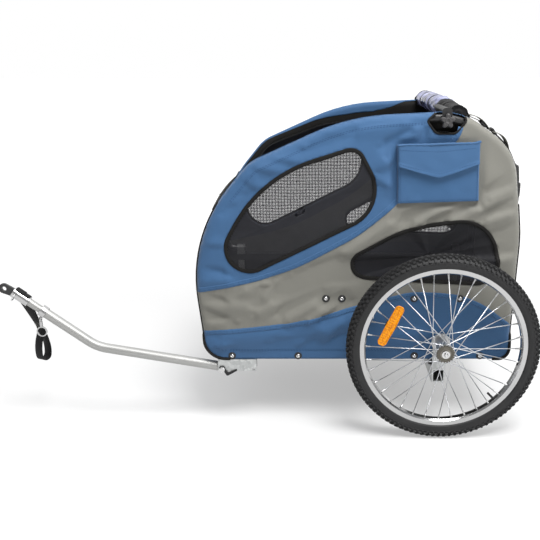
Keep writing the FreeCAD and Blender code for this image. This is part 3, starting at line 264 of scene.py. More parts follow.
def drawnTube(name, colour):
    # drawn and brushed tube: fine lines along its length
    made = newFinish(name, metallic=0.7, grain=0.3)
    place = made.where()
    lines = made.add("ShaderNodeMapping", None, {"Vector": place, "Scale": (6, 900, 160)})
    brush = made.cloudy(lines, scale=1, detail=3)
    marks = made.cloudy(place, scale=14, detail=5, rough=0.65)
    tone = made.shades(marks, colour, 0.9, 1.02)
    return made.coat(tone, brush * 0.16 + marks * 0.1 + 0.40, brush, depth=0.00005, strength=0.5)


def mouldedPlastic(name, colour, rough=0.45, grain=700):
    made = newFinish(name, specular=0.45)
    place = made.where()
    pebble = made.cells(place, scale=grain, feature="SMOOTH_F1")
    rubbed = made.cloudy(place, scale=35, detail=5)
    tone = made.shades(rubbed, colour, 0.75, 1.35)
    return made.coat(tone, rubbed * 0.22 + (rough - 0.1), pebble, depth=0.00012, strength=0.6)


def sprayedPaint(name, colour, rough=0.38):
    made = newFinish(name, specular=0.5)
    place = made.where()
    peel = made.cloudy(place, scale=520, detail=2)
    scuff = made.cloudy(place, scale=24, detail=6, rough=0.7)
    tone = made.shades(scuff, colour, 0.8, 1.4)
    return made.coat(tone, scuff * 0.25 + (rough - 0.1), peel, depth=0.00008, strength=0.5)


def tyreRubber(name):
    made = newFinish(name, specular=0.4)
    place = made.where()
    dust = made.cloudy(place, scale=26, detail=6, rough=0.65)
    grain = made.cloudy(place, scale=650, detail=3)
    tone = made.ramp(dust * 0.8 + grain * 0.2, [
        (0.25, paint(18, 18, 19)), (0.55, paint(28, 28, 29)), (0.8, paint(44, 43, 42)),
    ])
    return made.coat(tone, dust * 0.25 + 0.5, grain + dust * 0.4, depth=0.00025, strength=0.6)


def amberLens(name):
    made = newFinish(name, coat=0.1, coatRough=0.08, specular=0.25)
    place = made.where()
    cells = made.cells(place, scale=210)
    cloud = made.cloudy(place, scale=45, detail=3)
    tone = made.mix(cells * 1.1 + cloud * 0.2, paint(238, 158, 4), paint(190, 112, 2))
    return made.coat(tone, cloud * 0.1 + 0.12, cells, depth=0.0006, strength=0.7)


def clearVinyl(name):
    # the rolled cover: lilac vinyl, painted dark in the hollows of its creases and pale on their raised folds:
    # painted shade and painted highlights
    made = newFinish(name, coat=0.35, coatRough=0.12, specular=0.5)
    place = made.where()
    crease = made.cloudy(place, scale=22)
    layers = made.cloudy(place, scale=11, detail=3)
    # the dark stops are painted shade in the crease hollows, the pale stops painted highlights on the folds
    tone = made.ramp(crease * 0.65 + layers * 0.35, [
        (0.36, paint(34, 36, 62)), (0.47, paint(88, 92, 132)), (0.57, paint(128, 132, 172)),
        (0.70, paint(176, 180, 208)),
    ])
    return made.coat(tone, crease * 0.2 + 0.18, crease, depth=0.0018, strength=0.5)


def galvanised(name):
    made = newFinish(name, metallic=0.85)
    place = made.where()
    spangle = made.cells(place, scale=120, output="Color")
    haze = made.cloudy(place, scale=30, detail=5)
    tone = made.mix(spangle.part(0) * 0.5 + haze * 0.5, paint(150, 152, 152), paint(205, 207, 206))
    return made.coat(tone, haze * 0.2 + 0.3, haze, depth=0.0001, strength=0.4)


def studioFloor(name):
    # pale sweep that brightens away from the trailer
    made = newFinish(name, roughness=0.6, specular=0.1, glow=1)
    place = made.where()
    tone = made.mix(made.cloudy(place, scale=0.7, detail=2), paint(168, 168, 168), paint(176, 176, 176))
    away = (place.part(0) ** 2 + place.part(1) ** 2) ** 0.5
    glow = made.spread(away, studio["glowReach"], studio["glow"], "SMOOTHSTEP")
    return made.feed(colour=tone, emission=made.mix(glow, (0, 0, 0), (1, 1, 1)))


studio = {
    "floor": 60, "floorDrop": 0.0004, "glow": (0.38, 0.80), "glowReach": (0.8, 2.6),
    "sky": (0.12, 1.0), "skyTurn": (-0.35, 0.45), "horizon": (0.03, 0.2), "overhead": 0.4,
    "aim": (0.1, 0, 0.4),
    # place, power and width of each lamp
    "lamps": {"keyLight": ((0.85, -1.5, 3.4), 176, 1.6), "fillLight": ((2.7, -1.7, 1.5), 26, 1.2)},
}
finishes = {
    "blue": wovenCloth("blueCanvas", paint(51, 89, 129)),
    "grey": wovenCloth("greyCanvas", paint(117, 116, 109), fade=0.07),
    # inner faces of the cloth: darker copies of the blue and the grey, painted shade inside the cabin
    "shadedInside": wovenCloth("blueShadedInside", paint(30, 33, 44), fade=0.2),
    "greyShadedInside": wovenCloth("greyShadedInside", paint(50, 50, 49), fade=0.2),
    "black": tapeCloth("blackBinding", paint(19, 18, 17)),
    "webbing": tapeCloth("blackWebbing", paint(26, 26, 27), rib=0.0022),
    "blueThread": tapeCloth("blueThread", paint(36, 62, 96), rib=0.0008),
    "greyThread": tapeCloth("greyThread", paint(110, 110, 104), rib=0.0008),
    "net": netting("blackNetting", paint(30, 30, 34)),
    "rubber": tyreRubber("tyreRubber"),
    "chrome": brightMetal("chromedRim", (0.50, 0.50, 0.50), 0.14, spots=18, wear=0.16),
    "spoke": brightMetal("spokeSteel", (0.60, 0.61, 0.63), 0.34, relief=0),
    "alloy": brightMetal("hubAlloy", (0.52, 0.52, 0.52), 0.3, streak=0.08),
    "bearing": brightMetal("bearingSteel", (0.30, 0.28, 0.25), 0.36, streak=0.1, wear=0.3),
    "darkSteel": brightMetal("darkSteel", (0.15, 0.14, 0.12), 0.36, streak=0.1, wear=0.3),
    "screw": brightMetal("screwSteel", (0.62, 0.62, 0.62), 0.2, wear=0.15),
    "tube": drawnTube("satinTube", (0.40, 0.40, 0.39)),
    "zinc": galvanised("zincPlate"),
    "frame": sprayedPaint("blackFramePaint", paint(24, 24, 25)),
    # posts and hinge blocks: a lighter copy of the black frame paint, standing in for the highlights along
    # them: painted highlight
    "highlitFrame": sprayedPaint("greyFramePaint", paint(78, 78, 78), 0.4),
    "forged": sprayedPaint("blackForging", paint(28, 28, 29), 0.32),
    "board": mouldedPlastic("blackBoard", paint(30, 30, 31), 0.6, 260),
    "plastic": mouldedPlastic("blackMoulding", paint(27, 27, 28)),
    "softRubber": mouldedPlastic("softRubber", paint(24, 24, 25), 0.62, 420),
    "knob": mouldedPlastic("greyKnob", paint(50, 49, 50)),
    "amber": amberLens("amberLens"),
    "vinyl": clearVinyl("rolledVinyl"),
    "floor": studioFloor("studioFloor"),
}
print("finishes made:", len(finishes))


# Studio: a white sweep behind, a darker room at the camera's side, a large lamp and a small one

def addLamp(name, place, power, width):
    lamp = bpy.data.lights.new(name, "AREA")
    lamp.energy = power
    lamp.size = width
    holder = bpy.data.objects.new(name, lamp)
    holder.location = place
    holder.rotation_euler = (Vector(studio["aim"]) - Vector(place)).to_track_quat("-Z", "Y").to_euler()
    bpy.context.scene.collection.objects.link(holder)


def setStudio():
    bpy.context.scene.view_settings.view_transform = "Standard"
    world = bpy.data.worlds.new("studioSky")
    sky = Finish(world, "Background")
    way = sky.add("ShaderNodeTexCoord", None, None, "Generated")
    white = studio["sky"][1]
    back = sky.spread(way.part(1), studio["skyTurn"], studio["sky"], "SMOOTHSTEP")
    height = way.part(2).largest(0)
    horizon = sky.spread(height, studio["horizon"], (white, 0))
    glow = back.largest(horizon) + height * height * studio["overhead"]
    seen = sky.add("ShaderNodeLightPath", None, None, "Is Camera Ray")
    glow = glow.largest(seen * white)  # the backdrop itself is white from every side
    sky.tree.links.new(glow.socket, sky.shader.inputs["Color"])
    bpy.context.scene.world = world
    for name, values in studio["lamps"].items():
        addLamp(name, *values)


setStudio()


# Building blocks: meshes from lists of points, tubes, turned shapes and flat loops

square = ((-1, -1), (1, -1), (1, 1), (-1, 1))


def makePiece(name, points, faces, looks, owners=None, flat=None, smooth=True):
    mesh = bpy.data.meshes.new(name)
    mesh.from_pydata([tuple(p) for p in points], [], [tuple(f) for f in faces])
    for look in looks if isinstance(looks, list) else [looks]:
        mesh.materials.append(finishes[look])
    if owners is not None:
        mesh.polygons.foreach_set("material_index", list(owners))
    mesh.polygons.foreach_set("use_smooth", [smooth] * len(mesh.polygons))
    layer = mesh.uv_layers.new(name="flat")
    spots = flat if flat is not None else [(p[0], p[2]) for p in points]
    corners = np.zeros(len(mesh.loops), np.int32)
    mesh.loops.foreach_get("vertex_index", corners)
    layer.data.foreach_set("uv", np.array(spots, np.float32)[corners].ravel())
    mesh.update()
    piece = bpy.data.objects.new(name, mesh)
    bpy.context.scene.collection.objects.link(piece)
    return piece


def standIn(piece, body, node):
    # shown on its body in place of a CAD node
    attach(piece, body)
    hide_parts(node)


def onBothSides(*makers):
    for side in sideSign:
        for make in makers:
            make(side)


class Heap:
    # points and faces of many small shapes that make one piece
    def __init__(self):
        self.points, self.faces, self.flat, self.owners = [], [], [], []

    def put(self, points, faces, flat=None, owner=0):
        first = len(self.points)
        self.points += [Vector(p) for p in points]
        self.faces += [[first + i for i in face] for face in faces]
        self.flat += flat if flat is not None else [(p[0], p[2]) for p in points]
        self.owners += [owner] * len(faces)

    def piece(self, name, looks, smooth=True):
        return makePiece(name, self.points, self.faces, looks, self.owners, self.flat, smooth)


def gridFaces(rows, columns, closeRows=False, closeColumns=False):
    faces = []
    for r in range(rows if closeRows else rows - 1):
        for c in range(columns if closeColumns else columns - 1):
            a, b = r * columns + c, r * columns + (c + 1) % columns
            e, f = (r + 1) % rows * columns + c, (r + 1) % rows * columns + (c + 1) % columns
            faces.append((a, b, f, e))
    return faces


def endCaps(rows, columns):
    last = (rows - 1) * columns
    return [tuple(range(columns))[::-1], tuple(range(last, last + columns))]


def flipped(faces):
    return [tuple(face)[::-1] for face in faces]


def fullTurn(count):
    return [2 * math.pi * k / count for k in range(count)]


def headings(path):
    # way along a line at each of its points
    padded = [path[0], *path, path[-1]]
    return [(after - before).normalized() for before, after in zip(padded, padded[2:])]


def runsOf(line):
    # length of a line up to each of its points
    return np.concatenate([[0], np.cumsum(np.linalg.norm(np.diff(line, axis=0), axis=1))])


def tubeAlong(path, radius, sides):
    # round tube on a line of points, turned as little as possible from ring to ring
    path = [Vector(p) for p in path]
    count = len(path)
    radii = radius if isinstance(radius, list) else [radius] * count
    ways = headings(path)
    normal = ways[0].orthogonal().normalized()
    points, flat, run = [], [], 0
    for i, (spot, way) in enumerate(zip(path, ways)):
        normal = (normal - way * normal.dot(way)).normalized()
        other = way.cross(normal)
        run += (spot - path[i - 1]).length if i else 0
        for angle in fullTurn(sides):
            points.append(spot + (normal * math.cos(angle) + other * math.sin(angle)) * radii[i])
            flat.append((run, angle * radii[i]))
    return points, gridFaces(count, sides, False, True) + endCaps(count, sides), flat


def turnedShape(profile, place, axis, sides, flatLeast=0.002):
    # profile of (along the axis, radius) turned about it
    axis = Vector(axis).normalized()
    first = axis.orthogonal()
    first = (first - axis * first.dot(axis)).normalized()
    second = axis.cross(first)
    points, flat = [], []
    for along, radius in profile:
        for angle in fullTurn(sides):
            way = first * math.cos(angle) + second * math.sin(angle)
            points.append(Vector(place) + axis * along + way * radius)
            flat.append((angle * max(radius, flatLeast), along + radius))
    return points, gridFaces(len(profile), sides, False, True) + endCaps(len(profile), sides), flat


def blockAt(place, along, across, half, top=0.8):
    # a small block, its upper face narrower by the given share
    along = along.normalized()
    up = along.cross(across).normalized()
    across = up.cross(along)
    points = []
    for level, share in ((-1, 1.0), (1, top)):
        for a, b in square:
            spot = place + along * (a * half[0] * share) + across * (b * half[1] * share)
            points.append(spot + up * (level * half[2]))
    return points, [(3, 2, 1, 0), (4, 5, 6, 7), (0, 1, 5, 4), (1, 2, 6, 5), (2, 3, 7, 6), (3, 0, 4, 7)]


def besideAxle(x, z):
    # place in the side view from millimetres, x from the axle
    return axleX + x / 1000, z / 1000


def roundedLoop(corners, arcStep=0.06):
    # closed outline from (x from the axle, z, radius) in millimetres
    spots = [Vector(besideAxle(x, z)) for x, z, radius in corners]
    line = []
    for i, here in enumerate(spots):
        before, after, radius = spots[i - 1], spots[(i + 1) % len(spots)], corners[i][2] / 1000
        back, ahead = (before - here).normalized(), (after - here).normalized()
        half = back.angle(ahead) / 2
        start = here + back * (radius / math.tan(half))
        middle = here + (back + ahead).normalized() * (radius / math.sin(half))
        turn = math.pi - 2 * half
        turn = turn if back.cross(ahead) < 0 else -turn
        steps = max(3, int(abs(turn) / arcStep))
        for k in range(steps + 1):
            line.append(middle + Matrix.Rotation(turn * k / steps, 2) @ (start - middle))
    return line


def evenly(line, step, closed=True):
    line = np.array([tuple(p) for p in line], float)
    ends = np.vstack([line, line[:1]]) if closed else line
    runs = runsOf(ends)
    count = max(3, int(round(runs[-1] / step)))
    marks = np.linspace(0, runs[-1], count, endpoint=not closed)
    return np.stack([np.interp(marks, runs, ends[:, k]) for k in range(ends.shape[1])], 1)


def evenSpots(line, step):
    return [Vector(p) for p in evenly(line, step, False)]


def smoothLine(knots, step, parts=12):
    # even points on a smooth line through the knots
    knots = [Vector(k) for k in knots]
    padded = [knots[0], *knots, knots[-1]]
    line = []
    for a, b, c, d in zip(padded, padded[1:], padded[2:], padded[3:]):
        for t in (k / parts for k in range(parts)):
            line.append(0.5 * (
                2 * b + (c - a) * t + (2 * a - 5 * b + 4 * c - d) * t * t + (3 * b - a - 3 * c + d) * t ** 3
            ))
    return evenly(line + knots[-1:], step, False)


def distanceTo(points, line, closed=True):
    best = np.full(len(points), 1e9)
    after = np.roll(line, -1, 0) if closed else line[1:]
    for start, end in zip(line if closed else line[:-1], after):
        way = end - start
        t = np.clip((points - start) @ way / max(way @ way, 1e-12), 0, 1)
        best = np.minimum(best, np.linalg.norm(points - start - t[:, None] * way, axis=1))
    return best


def insideLoop(points, loop):
    inside = np.zeros(len(points), bool)
    for start, end in zip(loop, np.roll(loop, -1, 0)):
        crosses = (start[1] > points[:, 1]) != (end[1] > points[:, 1])
        rise = end[1] - start[1]
        reach = start[0] + (points[:, 1] - start[1]) * (end[0] - start[0]) / (rise if rise else 1e-12)
        inside ^= crosses & (points[:, 0] < reach)
    return inside


def fromTable(table, values):
    # table of pairs in millimetres, for values in metres
    levels, amounts = np.array(sorted(table)).T / 1000
    return np.interp(values, levels, amounts)


def easing(value):
    value = np.clip(value, 0, 1)
    return value * value * (3 - 2 * value)


def noiseAt(points, scale, seed):
    return np.array([noise.noise(Vector((x * scale, z * scale, seed))) for x, z in points])


def thicken(piece, thickness, inner=0, offset=-1):
    solid = piece.modifiers.new("thickness", "SOLIDIFY")
    solid.thickness = thickness
    solid.offset = offset
    solid.material_offset = inner
    solid.material_offset_rim = 0
    return piece


# Side cloth: outline, windows and seams as seen from the side, x from the axle, millimetres

sideCloth = {
    "outline": [
        (-608, 182, 56), (-642, 509, 391), (-485, 699, 107), (-240, 809, 521),
        (32, 823, 171), (169, 726, 143), (196, 512, 399), (187, 182, 28),
    ],
    "frontWindow": [(-640, 338, 62), (-138, 589, 97), (-217, 741, 37), (-457, 664, 343)],
    "rearWindow": [(-327, 412, 37), (158, 386, 56), (116, 570, 98), (-96, 536, 308)],
    "notch": [
        (-54, 799, 9), (-30, 769, 16), (18, 769, 16), (46, 803, 9),
        (12, 829, 6), (11, 850, 1), (-17, 850, 1), (-18, 829, 6),
    ],
    "upperSeam": [
        (-660, 360), (-620, 367), (-535, 384), (-461, 402), (-373, 433), (-286, 478), (-209, 523), (-119, 598),
        (-50, 676), (20, 753), (36, 796), (44, 850),
    ],
    "lowerSeam": [
        (-660, 256), (-612, 260), (-539, 267), (-465, 274), (-375, 287), (-285, 309), (-226, 328), (-120, 358),
        (-69, 366), (0, 366), (52, 356), (105, 336), (159, 298), (220, 250),
    ],
    # screws: level of the low row, high row below the hinge, and their places
    "screwLevel": 191, "screwDrop": 28,
    "lowScrews": (-541, -367, -214, -61, 112), "highScrews": (-294, -253, -67, 51),
    "hinge": {"left": 378, "right": 349}, "hingeBand": 0.007,
    "lineStep": 0.006, "notchStep": 0.005, "grid": 0.0068, "gridRow": 0.87, "gridGap": 0.5,
    "plane": 0.264, "hoopY": 0.2506, "thickness": 0.0012, "edgeRound": 0.0145, "hem": 0.215, "hemEase": 0.05,
    "crown": 0.0062, "crownIn": 0.09, "fullness": {"left": 1, "right": 0.25},
    "pocketEase": 0.02, "screwHold": 0.008, "screwEase": 0.03,
    # loose waves: scale, height and step of the seed
    "waves": [(9, 0.0034, 0), (24, 0.0010, 2)], "wavesIn": 0.05, "seed": {"left": 3.1, "right": 8.7},
    # puckers along the seams, drawn uneven by a noise
    "pucker": 0.0007, "puckerReach": 0.012, "puckerTurns": 420, "puckerNoise": (3, 20, 5),
    "foldScale": 3.2, "foldFlank": 2.3, "foldsIn": 0.03,
    # folds: from, to, width and height in millimetres, hollows below zero
    "folds": [
        (-425, 392, -229, 436, 17, -3.4), (-452, 356, -421, 396, 6, 1.8), (-468, 314, -432, 336, 7, 1.8),
        (-412, 318, -304, 366, 9, -2.8), (-392, 300, -288, 362, 8, 2.8), (-337, 294, -257, 352, 8, 2.4),
        (-300, 300, -236, 345, 7, -2.0), (-614, 358, -560, 346, 7, -2.4), (-614, 318, -540, 292, 8, -2.4),
        (-606, 282, -540, 292, 8, 2.2), (-590, 336, -500, 330, 12, 1.8), (-500, 372, -380, 410, 9, 1.8),
        (-250, 470, -140, 548, 9, 2.0), (-215, 440, -120, 500, 12, -2.4), (-150, 462, -60, 520, 10, 2.2),
        (-330, 432, -250, 462, 10, -2.0), (100, 630, 178, 678, 9, -2.8), (112, 612, 184, 650, 10, 2.4),
        (-98, 566, -60, 592, 8, -2.6), (-70, 552, 8, 592, 9, 2.6), (-40, 552, 40, 590, 8, -2.4),
        (20, 558, 92, 592, 9, 2.2), (103, 580, 184, 608, 8, -2.6), (109, 558, 182, 580, 8, 2.4),
        (120, 520, 186, 536, 9, -2.0), (134, 482, 180, 499, 8, -2.6), (136, 452, 182, 462, 9, 2.0),
        (140, 410, 186, 404, 10, -2.0), (-56, 786, -57, 748, 6, -2.8), (-110, 754, -62, 786, 8, 2.6),
        (-150, 748, -96, 772, 9, -2.0), (-210, 776, -110, 796, 10, 1.8), (-330, 742, -240, 776, 9, -1.8),
        (-470, 668, -420, 706, 9, 1.8), (-560, 590, -500, 650, 11, -2.0), (-606, 490, -560, 560, 12, 1.8),
        (-612, 430, -560, 424, 7, -2.0), (-612, 400, -548, 404, 8, 1.8), (-128, 672, -124, 610, 9, -2.0),
        (-150, 700, -134, 640, 9, 1.6), (-300, 262, -190, 318, 12, 2.0), (-270, 240, -190, 276, 10, -1.8),
        (-560, 240, -420, 252, 16, 1.4), (-595, 214, -560, 226, 8, 1.8), (-420, 232, -300, 240, 14, -1.4),
        (-120, 250, 20, 262, 16, 1.8), (60, 250, 150, 262, 14, -1.6), (-558, 495, -606, 497, 7, 1.3),
        (-577, 413, -609, 418, 7, 1.3), (-519, 603, -554, 595, 8, 1.6), (-489, 634, -528, 625, 8, 1.6),
        (-462, 640, -498, 658, 8, 1.7), (-419, 680, -465, 689, 8, 1.8), (-375, 704, -423, 716, 8, 1.8),
        (-319, 747, -348, 738, 7, 1.5), (-249, 766, -290, 771, 7, 1.5), (-143, 645, -172, 662, 7, 1.6),
        (-135, 706, -163, 687, 7, 1.5), (-315, 265, -362, 223, 8, 1.5), (-258, 287, -294, 237, 8, 1.5),
    ],
}
outline = evenly(roundedLoop(sideCloth["outline"]), sideCloth["lineStep"])
windows = [
    evenly(roundedLoop(sideCloth[key]), sideCloth["lineStep"]) for key in ("frontWindow", "rearWindow")
]
notch = evenly(roundedLoop(sideCloth["notch"]), sideCloth["notchStep"])
seams = {
    key: smoothLine([besideAxle(x, z) for x, z in sideCloth[key]], sideCloth["lineStep"])
    for key in ("upperSeam", "lowerSeam")
}
pocketLow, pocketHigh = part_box("pocket")
pocketMiddle, pocketSize = (pocketLow + pocketHigh) / 2, pocketHigh - pocketLow
screwSpots = {  # x and z of every screw
    side: [besideAxle(x, sideCloth["screwLevel"]) for x in sideCloth["lowScrews"]]
    + [besideAxle(x, sideCloth["hinge"][side] - sideCloth["screwDrop"]) for x in sideCloth["highScrews"]]
    for side in sideSign
}


def clothLift(points, side):
    # how far the cloth stands outside its plane; it rolls inwards over the hoop at its edge
    points = np.asarray(points, float)
    x, z = points[:, 0], points[:, 1]
    edge = np.where(insideLoop(points, outline), distanceTo(points, outline), 0)
    flatten = np.ones(len(points))
    if side == "left":
        gap = np.maximum(
            np.abs(x - pocketMiddle.x) - pocketSize.x / 2, np.abs(z - pocketMiddle.z) - pocketSize.z / 2,
        )
        flatten *= easing(gap / sideCloth["pocketEase"])
    for screwX, screwZ in screwSpots[side]:
        away = np.hypot(x - screwX, z - screwZ) - sideCloth["screwHold"]
        flatten *= easing(away / sideCloth["screwEase"])
    swell = easing(edge / sideCloth["crownIn"]) * sideCloth["crown"]
    seed = sideCloth["seed"][side]
    waves = sum(high * noiseAt(points, scale, seed + step) for scale, high, step in sideCloth["waves"])
    swell += easing(edge / sideCloth["wavesIn"]) * waves
    for x0, z0, x1, z1, wide, high in sideCloth["folds"]:
        line = np.array([besideAxle(x0, z0), besideAxle(x1, z1)])
        away = distanceTo(points, line, False)
        way = line[1] - line[0]
        above = (z - line[0][1]) * way[0] - (x - line[0][0]) * way[1] > 0
        reach = np.where(above, wide, wide * sideCloth["foldFlank"]) / 1000  # one flank is steeper
        fold = sideCloth["foldScale"] * high / 1000 * np.exp(-(away / reach) ** 2)
        swell += fold * easing(edge / sideCloth["foldsIn"])
    uneven, scale, step = sideCloth["puckerNoise"]
    pucker = np.sin(x * sideCloth["puckerTurns"] + uneven * noiseAt(points, scale, seed + step))
    for line in seams.values():
        away = distanceTo(points, line, False)
        swell += sideCloth["pucker"] * pucker * np.exp(-(away / sideCloth["puckerReach"]) ** 2)
    swell = np.maximum(swell, 0) * flatten * sideCloth["fullness"][side]
    turn = 1 - np.minimum(edge, sideCloth["edgeRound"]) / sideCloth["edgeRound"]
    depth = sideCloth["plane"] - sideCloth["hoopY"]
    rolled = depth * (1 - np.sqrt(np.maximum(0, 1 - turn ** 2)))
    return swell - rolled * easing((z - sideCloth["hem"]) / sideCloth["hemEase"])


def atSide(points, out, side):
    return [Vector((x, sideSign[side] * y, z)) for (x, z), y in zip(points, out)]


def onCloth(points, side, height=0.0):
    # places on a side's cloth for points (x, z)
    return atSide(points, sideCloth["plane"] + clothLift(points, side) + height, side)


def isBlue(points):
    x, z = points[:, 0], points[:, 1]
    high, low = [np.interp(x, seams[key][:, 0], seams[key][:, 1]) for key in ("upperSeam", "lowerSeam")]
    return ((z > high) & (x < besideAxle(*sideCloth["upperSeam"][-1])[0])) | (z < low)


def followFold(piece, side):
    # bakes the cloth's placement into its mesh
    side + "_side"
    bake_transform(piece)


def cutCloth(lines, pitch):
    # triangles over an outline that keep every seam and window edge as an edge
    points, edges = [], []
    for line, closed in lines:
        first = len(points)
        points += [tuple(p) for p in line]
        edges += [(first + i, first + i + 1) for i in range(len(line) - 1)]
        if closed:
            edges.append((len(points) - 1, first))
    low, high = outline.min(0), outline.max(0)
    rows = np.arange(low[1], high[1], pitch * sideCloth["gridRow"])
    columns = np.arange(low[0], high[0], pitch)
    grid = np.array([(x + (r % 2) * pitch / 2, z) for r, z in enumerate(rows) for x in columns])
    keep = insideLoop(grid, outline)
    for line, closed in lines:
        keep &= distanceTo(grid, line, closed) > pitch * sideCloth["gridGap"]
    points += [tuple(p) for p in grid[keep]]
    made = geometry.delaunay_2d_cdt([Vector(p) for p in points], edges, [], 0, 1e-6)
    spots = np.array([tuple(p) for p in made[0]])
    faces = np.array([f for f in made[2] if len(f) == 3])
    middles = spots[faces].mean(1)
    inside = insideLoop(middles, outline)
    for loop in (notch, *windows):
        inside &= ~insideLoop(middles, loop)
    faces = faces[inside]
    used = np.unique(faces)
    order = np.full(len(spots), -1)
    order[used] = np.arange(len(used))
    return spots[used], order[faces], middles[inside]


flatSpots, flatFaces, flatMiddles = cutCloth(
    [(loop, True) for loop in (outline, notch, *windows)] + [(seam, False) for seam in seams.values()],
    sideCloth["grid"],
)
corners = flatSpots[flatFaces]
flatArea = float(np.abs(np.cross(corners[:, 1] - corners[:, 0], corners[:, 2] - corners[:, 0])).sum() / 2)


def makeSideCloth(side):
    faces = flatFaces if side == "left" else flatFaces[:, ::-1]
    piece = makePiece(
        side + "_side_cloth", onCloth(flatSpots, side), faces, ["blue", "grey", "shadedInside", "greyShadedInside"],
        np.where(isBlue(flatMiddles), 0, 1), [tuple(p) for p in flatSpots],
    )
    # the inner faces take the darker copies of the cloth colours: painted shade
    thicken(piece, sideCloth["thickness"], 2)
    followFold(piece, side)
    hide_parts(side + "_side_panel", side + "_skirt")
    rests = [side + "_hoop", "floor_frame"]


onBothSides(makeSideCloth)
print("side cloth:", len(flatFaces), "triangles a side")


# Tapes on the side cloth: window bindings, seam strips, edge piping and stitches

stitch = {
    "long": 0.0048, "wide": 0.0006, "high": 0.0005, "shoulder": 0.6, "ridge": 0.5,
    "pitch": 0.0075, "lift": 0.0003,
}
trim = {
    # sections: across and height, millimetres
    "binding": [(-7, 0.1), (-6.4, 1.2), (-3.2, 1.6), (0.5, 1.6), (1.8, 1.1), (2.2, -0.8)],
    "seamStrip": [(-1.2, -0.3), (-0.6, 0.9), (2.5, 1.3), (8.5, 1.2), (10.5, 0.7), (11.2, -0.2)],
    "notchBinding": [(-2.8, 0.1), (-2.3, 1.2), (-0.6, 1.5), (1.2, 1.3), (1.8, -1.0)],
    "bindingThick": 0.0004, "stripThick": 0.0003, "notchThick": 0.0006,
    "seamGap": 0.004, "seamRows": (3.2, 8.0), "seamHeight": 0.0014,
    "windowRows": [(-7.4, 0.0016), (0.2, 0.0019)],
    # rows inside the edge: high up in front and low down all along
    "edgeIn": 0.0255, "edgeAbove": 0.60, "edgeBelow": 0.23, "edgeGap": 0.012, "edgeBreak": 0.02,
    "edgeLeast": 4, "edgeRows": (-1.8, 1.8),
    "pipe": 0.0026, "pipeSides": 8, "pipeTop": 0.60, "piped": [(-0.9, -0.54), (0.14, 0.9)],
    "cornerPipe": 0.0042, "cornerTop": 0.25,
}


def offsetLine(line, distance, closed):
    after = np.roll(line, -1, 0) if closed else np.vstack([line[1:], line[-1:]])
    before = np.roll(line, 1, 0) if closed else np.vstack([line[:1], line[:-1]])
    way = after - before
    way /= np.maximum(np.linalg.norm(way, axis=1), 1e-9)[:, None]
    return line + np.stack([-way[:, 1], way[:, 0]], 1) * distance


def opened(line):
    # a ring with a gap in it as a line from one side of the gap to the other
    steps = np.linalg.norm(line - np.roll(line, 1, 0), axis=1)
    return np.roll(line, -int(np.argmax(steps)), 0)


def insideOnly(line, gap):
    inside = insideLoop(line, outline) & ~insideLoop(line, notch)
    return line[inside & (distanceTo(line, outline) > gap)]


def edgeRuns():
    # the unbroken lines of stitches inside the edge
    ring = offsetLine(outline, -trim["edgeIn"], True)
    front = (ring[:, 1] > trim["edgeAbove"]) & (ring[:, 0] < axleX)
    ring = insideOnly(ring[front | (ring[:, 1] < trim["edgeBelow"])], trim["edgeGap"])
    breaks = np.linalg.norm(np.diff(ring, axis=0), axis=1) > trim["edgeBreak"]
    return [run for run in np.split(ring, np.flatnonzero(breaks) + 1) if len(run) > trim["edgeLeast"]]


def tapeOn(heap, line, section, side, closed=False):
    # a tape from one edge of its section to the other
    columns = [
        onCloth(offsetLine(line, across / 1000, closed), side, height / 1000) for across, height in section
    ]
    points = [column[i] for i in range(len(line)) for column in columns]
    flat = [(run, across / 1000) for run in runsOf(line) for across, height in section]
    faces = gridFaces(len(line), len(section), closed)
    heap.put(points, faces if side == "left" else flipped(faces), flat)


def sew(heap, spots, out, long=stitch["long"], owner=0, closed=False):
    # one raised thread at each spot, along the line
    out = Vector(out).normalized()
    count = len(spots)
    top = out * stitch["high"]
    for i in range(count if closed else count - 1):
        at = spots[i]
        way = (spots[(i + 1) % count] - at).normalized() * long / 2
        wide = out.cross(way).normalized() * stitch["wide"]
        shoulder, ridge = way * stitch["shoulder"], way * stitch["ridge"]
        points = [
            at - way, at - shoulder - wide, at + shoulder - wide, at + way, at + shoulder + wide,
            at - shoulder + wide, at - ridge + top, at + ridge + top,
        ]
        faces = [(0, 1, 6), (1, 2, 7, 6), (2, 3, 7), (3, 4, 7), (4, 5, 6, 7), (5, 0, 6)]
        heap.put(points, faces, None, owner)


def stitchOn(heap, line, side, across, height=stitch["lift"], closed=False, owner=0):
    line = evenly(offsetLine(line, across / 1000, closed), stitch["pitch"], closed)
    sew(heap, onCloth(line, side, height), crossways * sideSign[side], owner=owner, closed=closed)


windowEdges = [loop[::-1] for loop in windows]
notchLip = opened(notch[insideLoop(notch, outline)])[::-1]
sewnSeams = [
    insideOnly(seams[key], trim["seamGap"])[::turn] for key, turn in (("upperSeam", 1), ("lowerSeam", -1))
]
sewnEdges = edgeRuns()


def makeTapes(side):
    bindings, edging, strips = Heap(), Heap(), Heap()
    for loop in windowEdges:
        tapeOn(bindings, loop, trim["binding"], side, True)
    tapeOn(edging, notchLip, trim["notchBinding"], side)
    for line in sewnSeams:
        tapeOn(strips, line, trim["seamStrip"], side)
    followFold(thicken(bindings.piece(side + "_window_binding", "black"), trim["bindingThick"]), side)
    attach(thicken(edging.piece(side + "_notch_binding", "black"), trim["notchThick"]), side + "_side")
    followFold(thicken(strips.piece(side + "_seam_strips", "blue"), trim["stripThick"]), side)


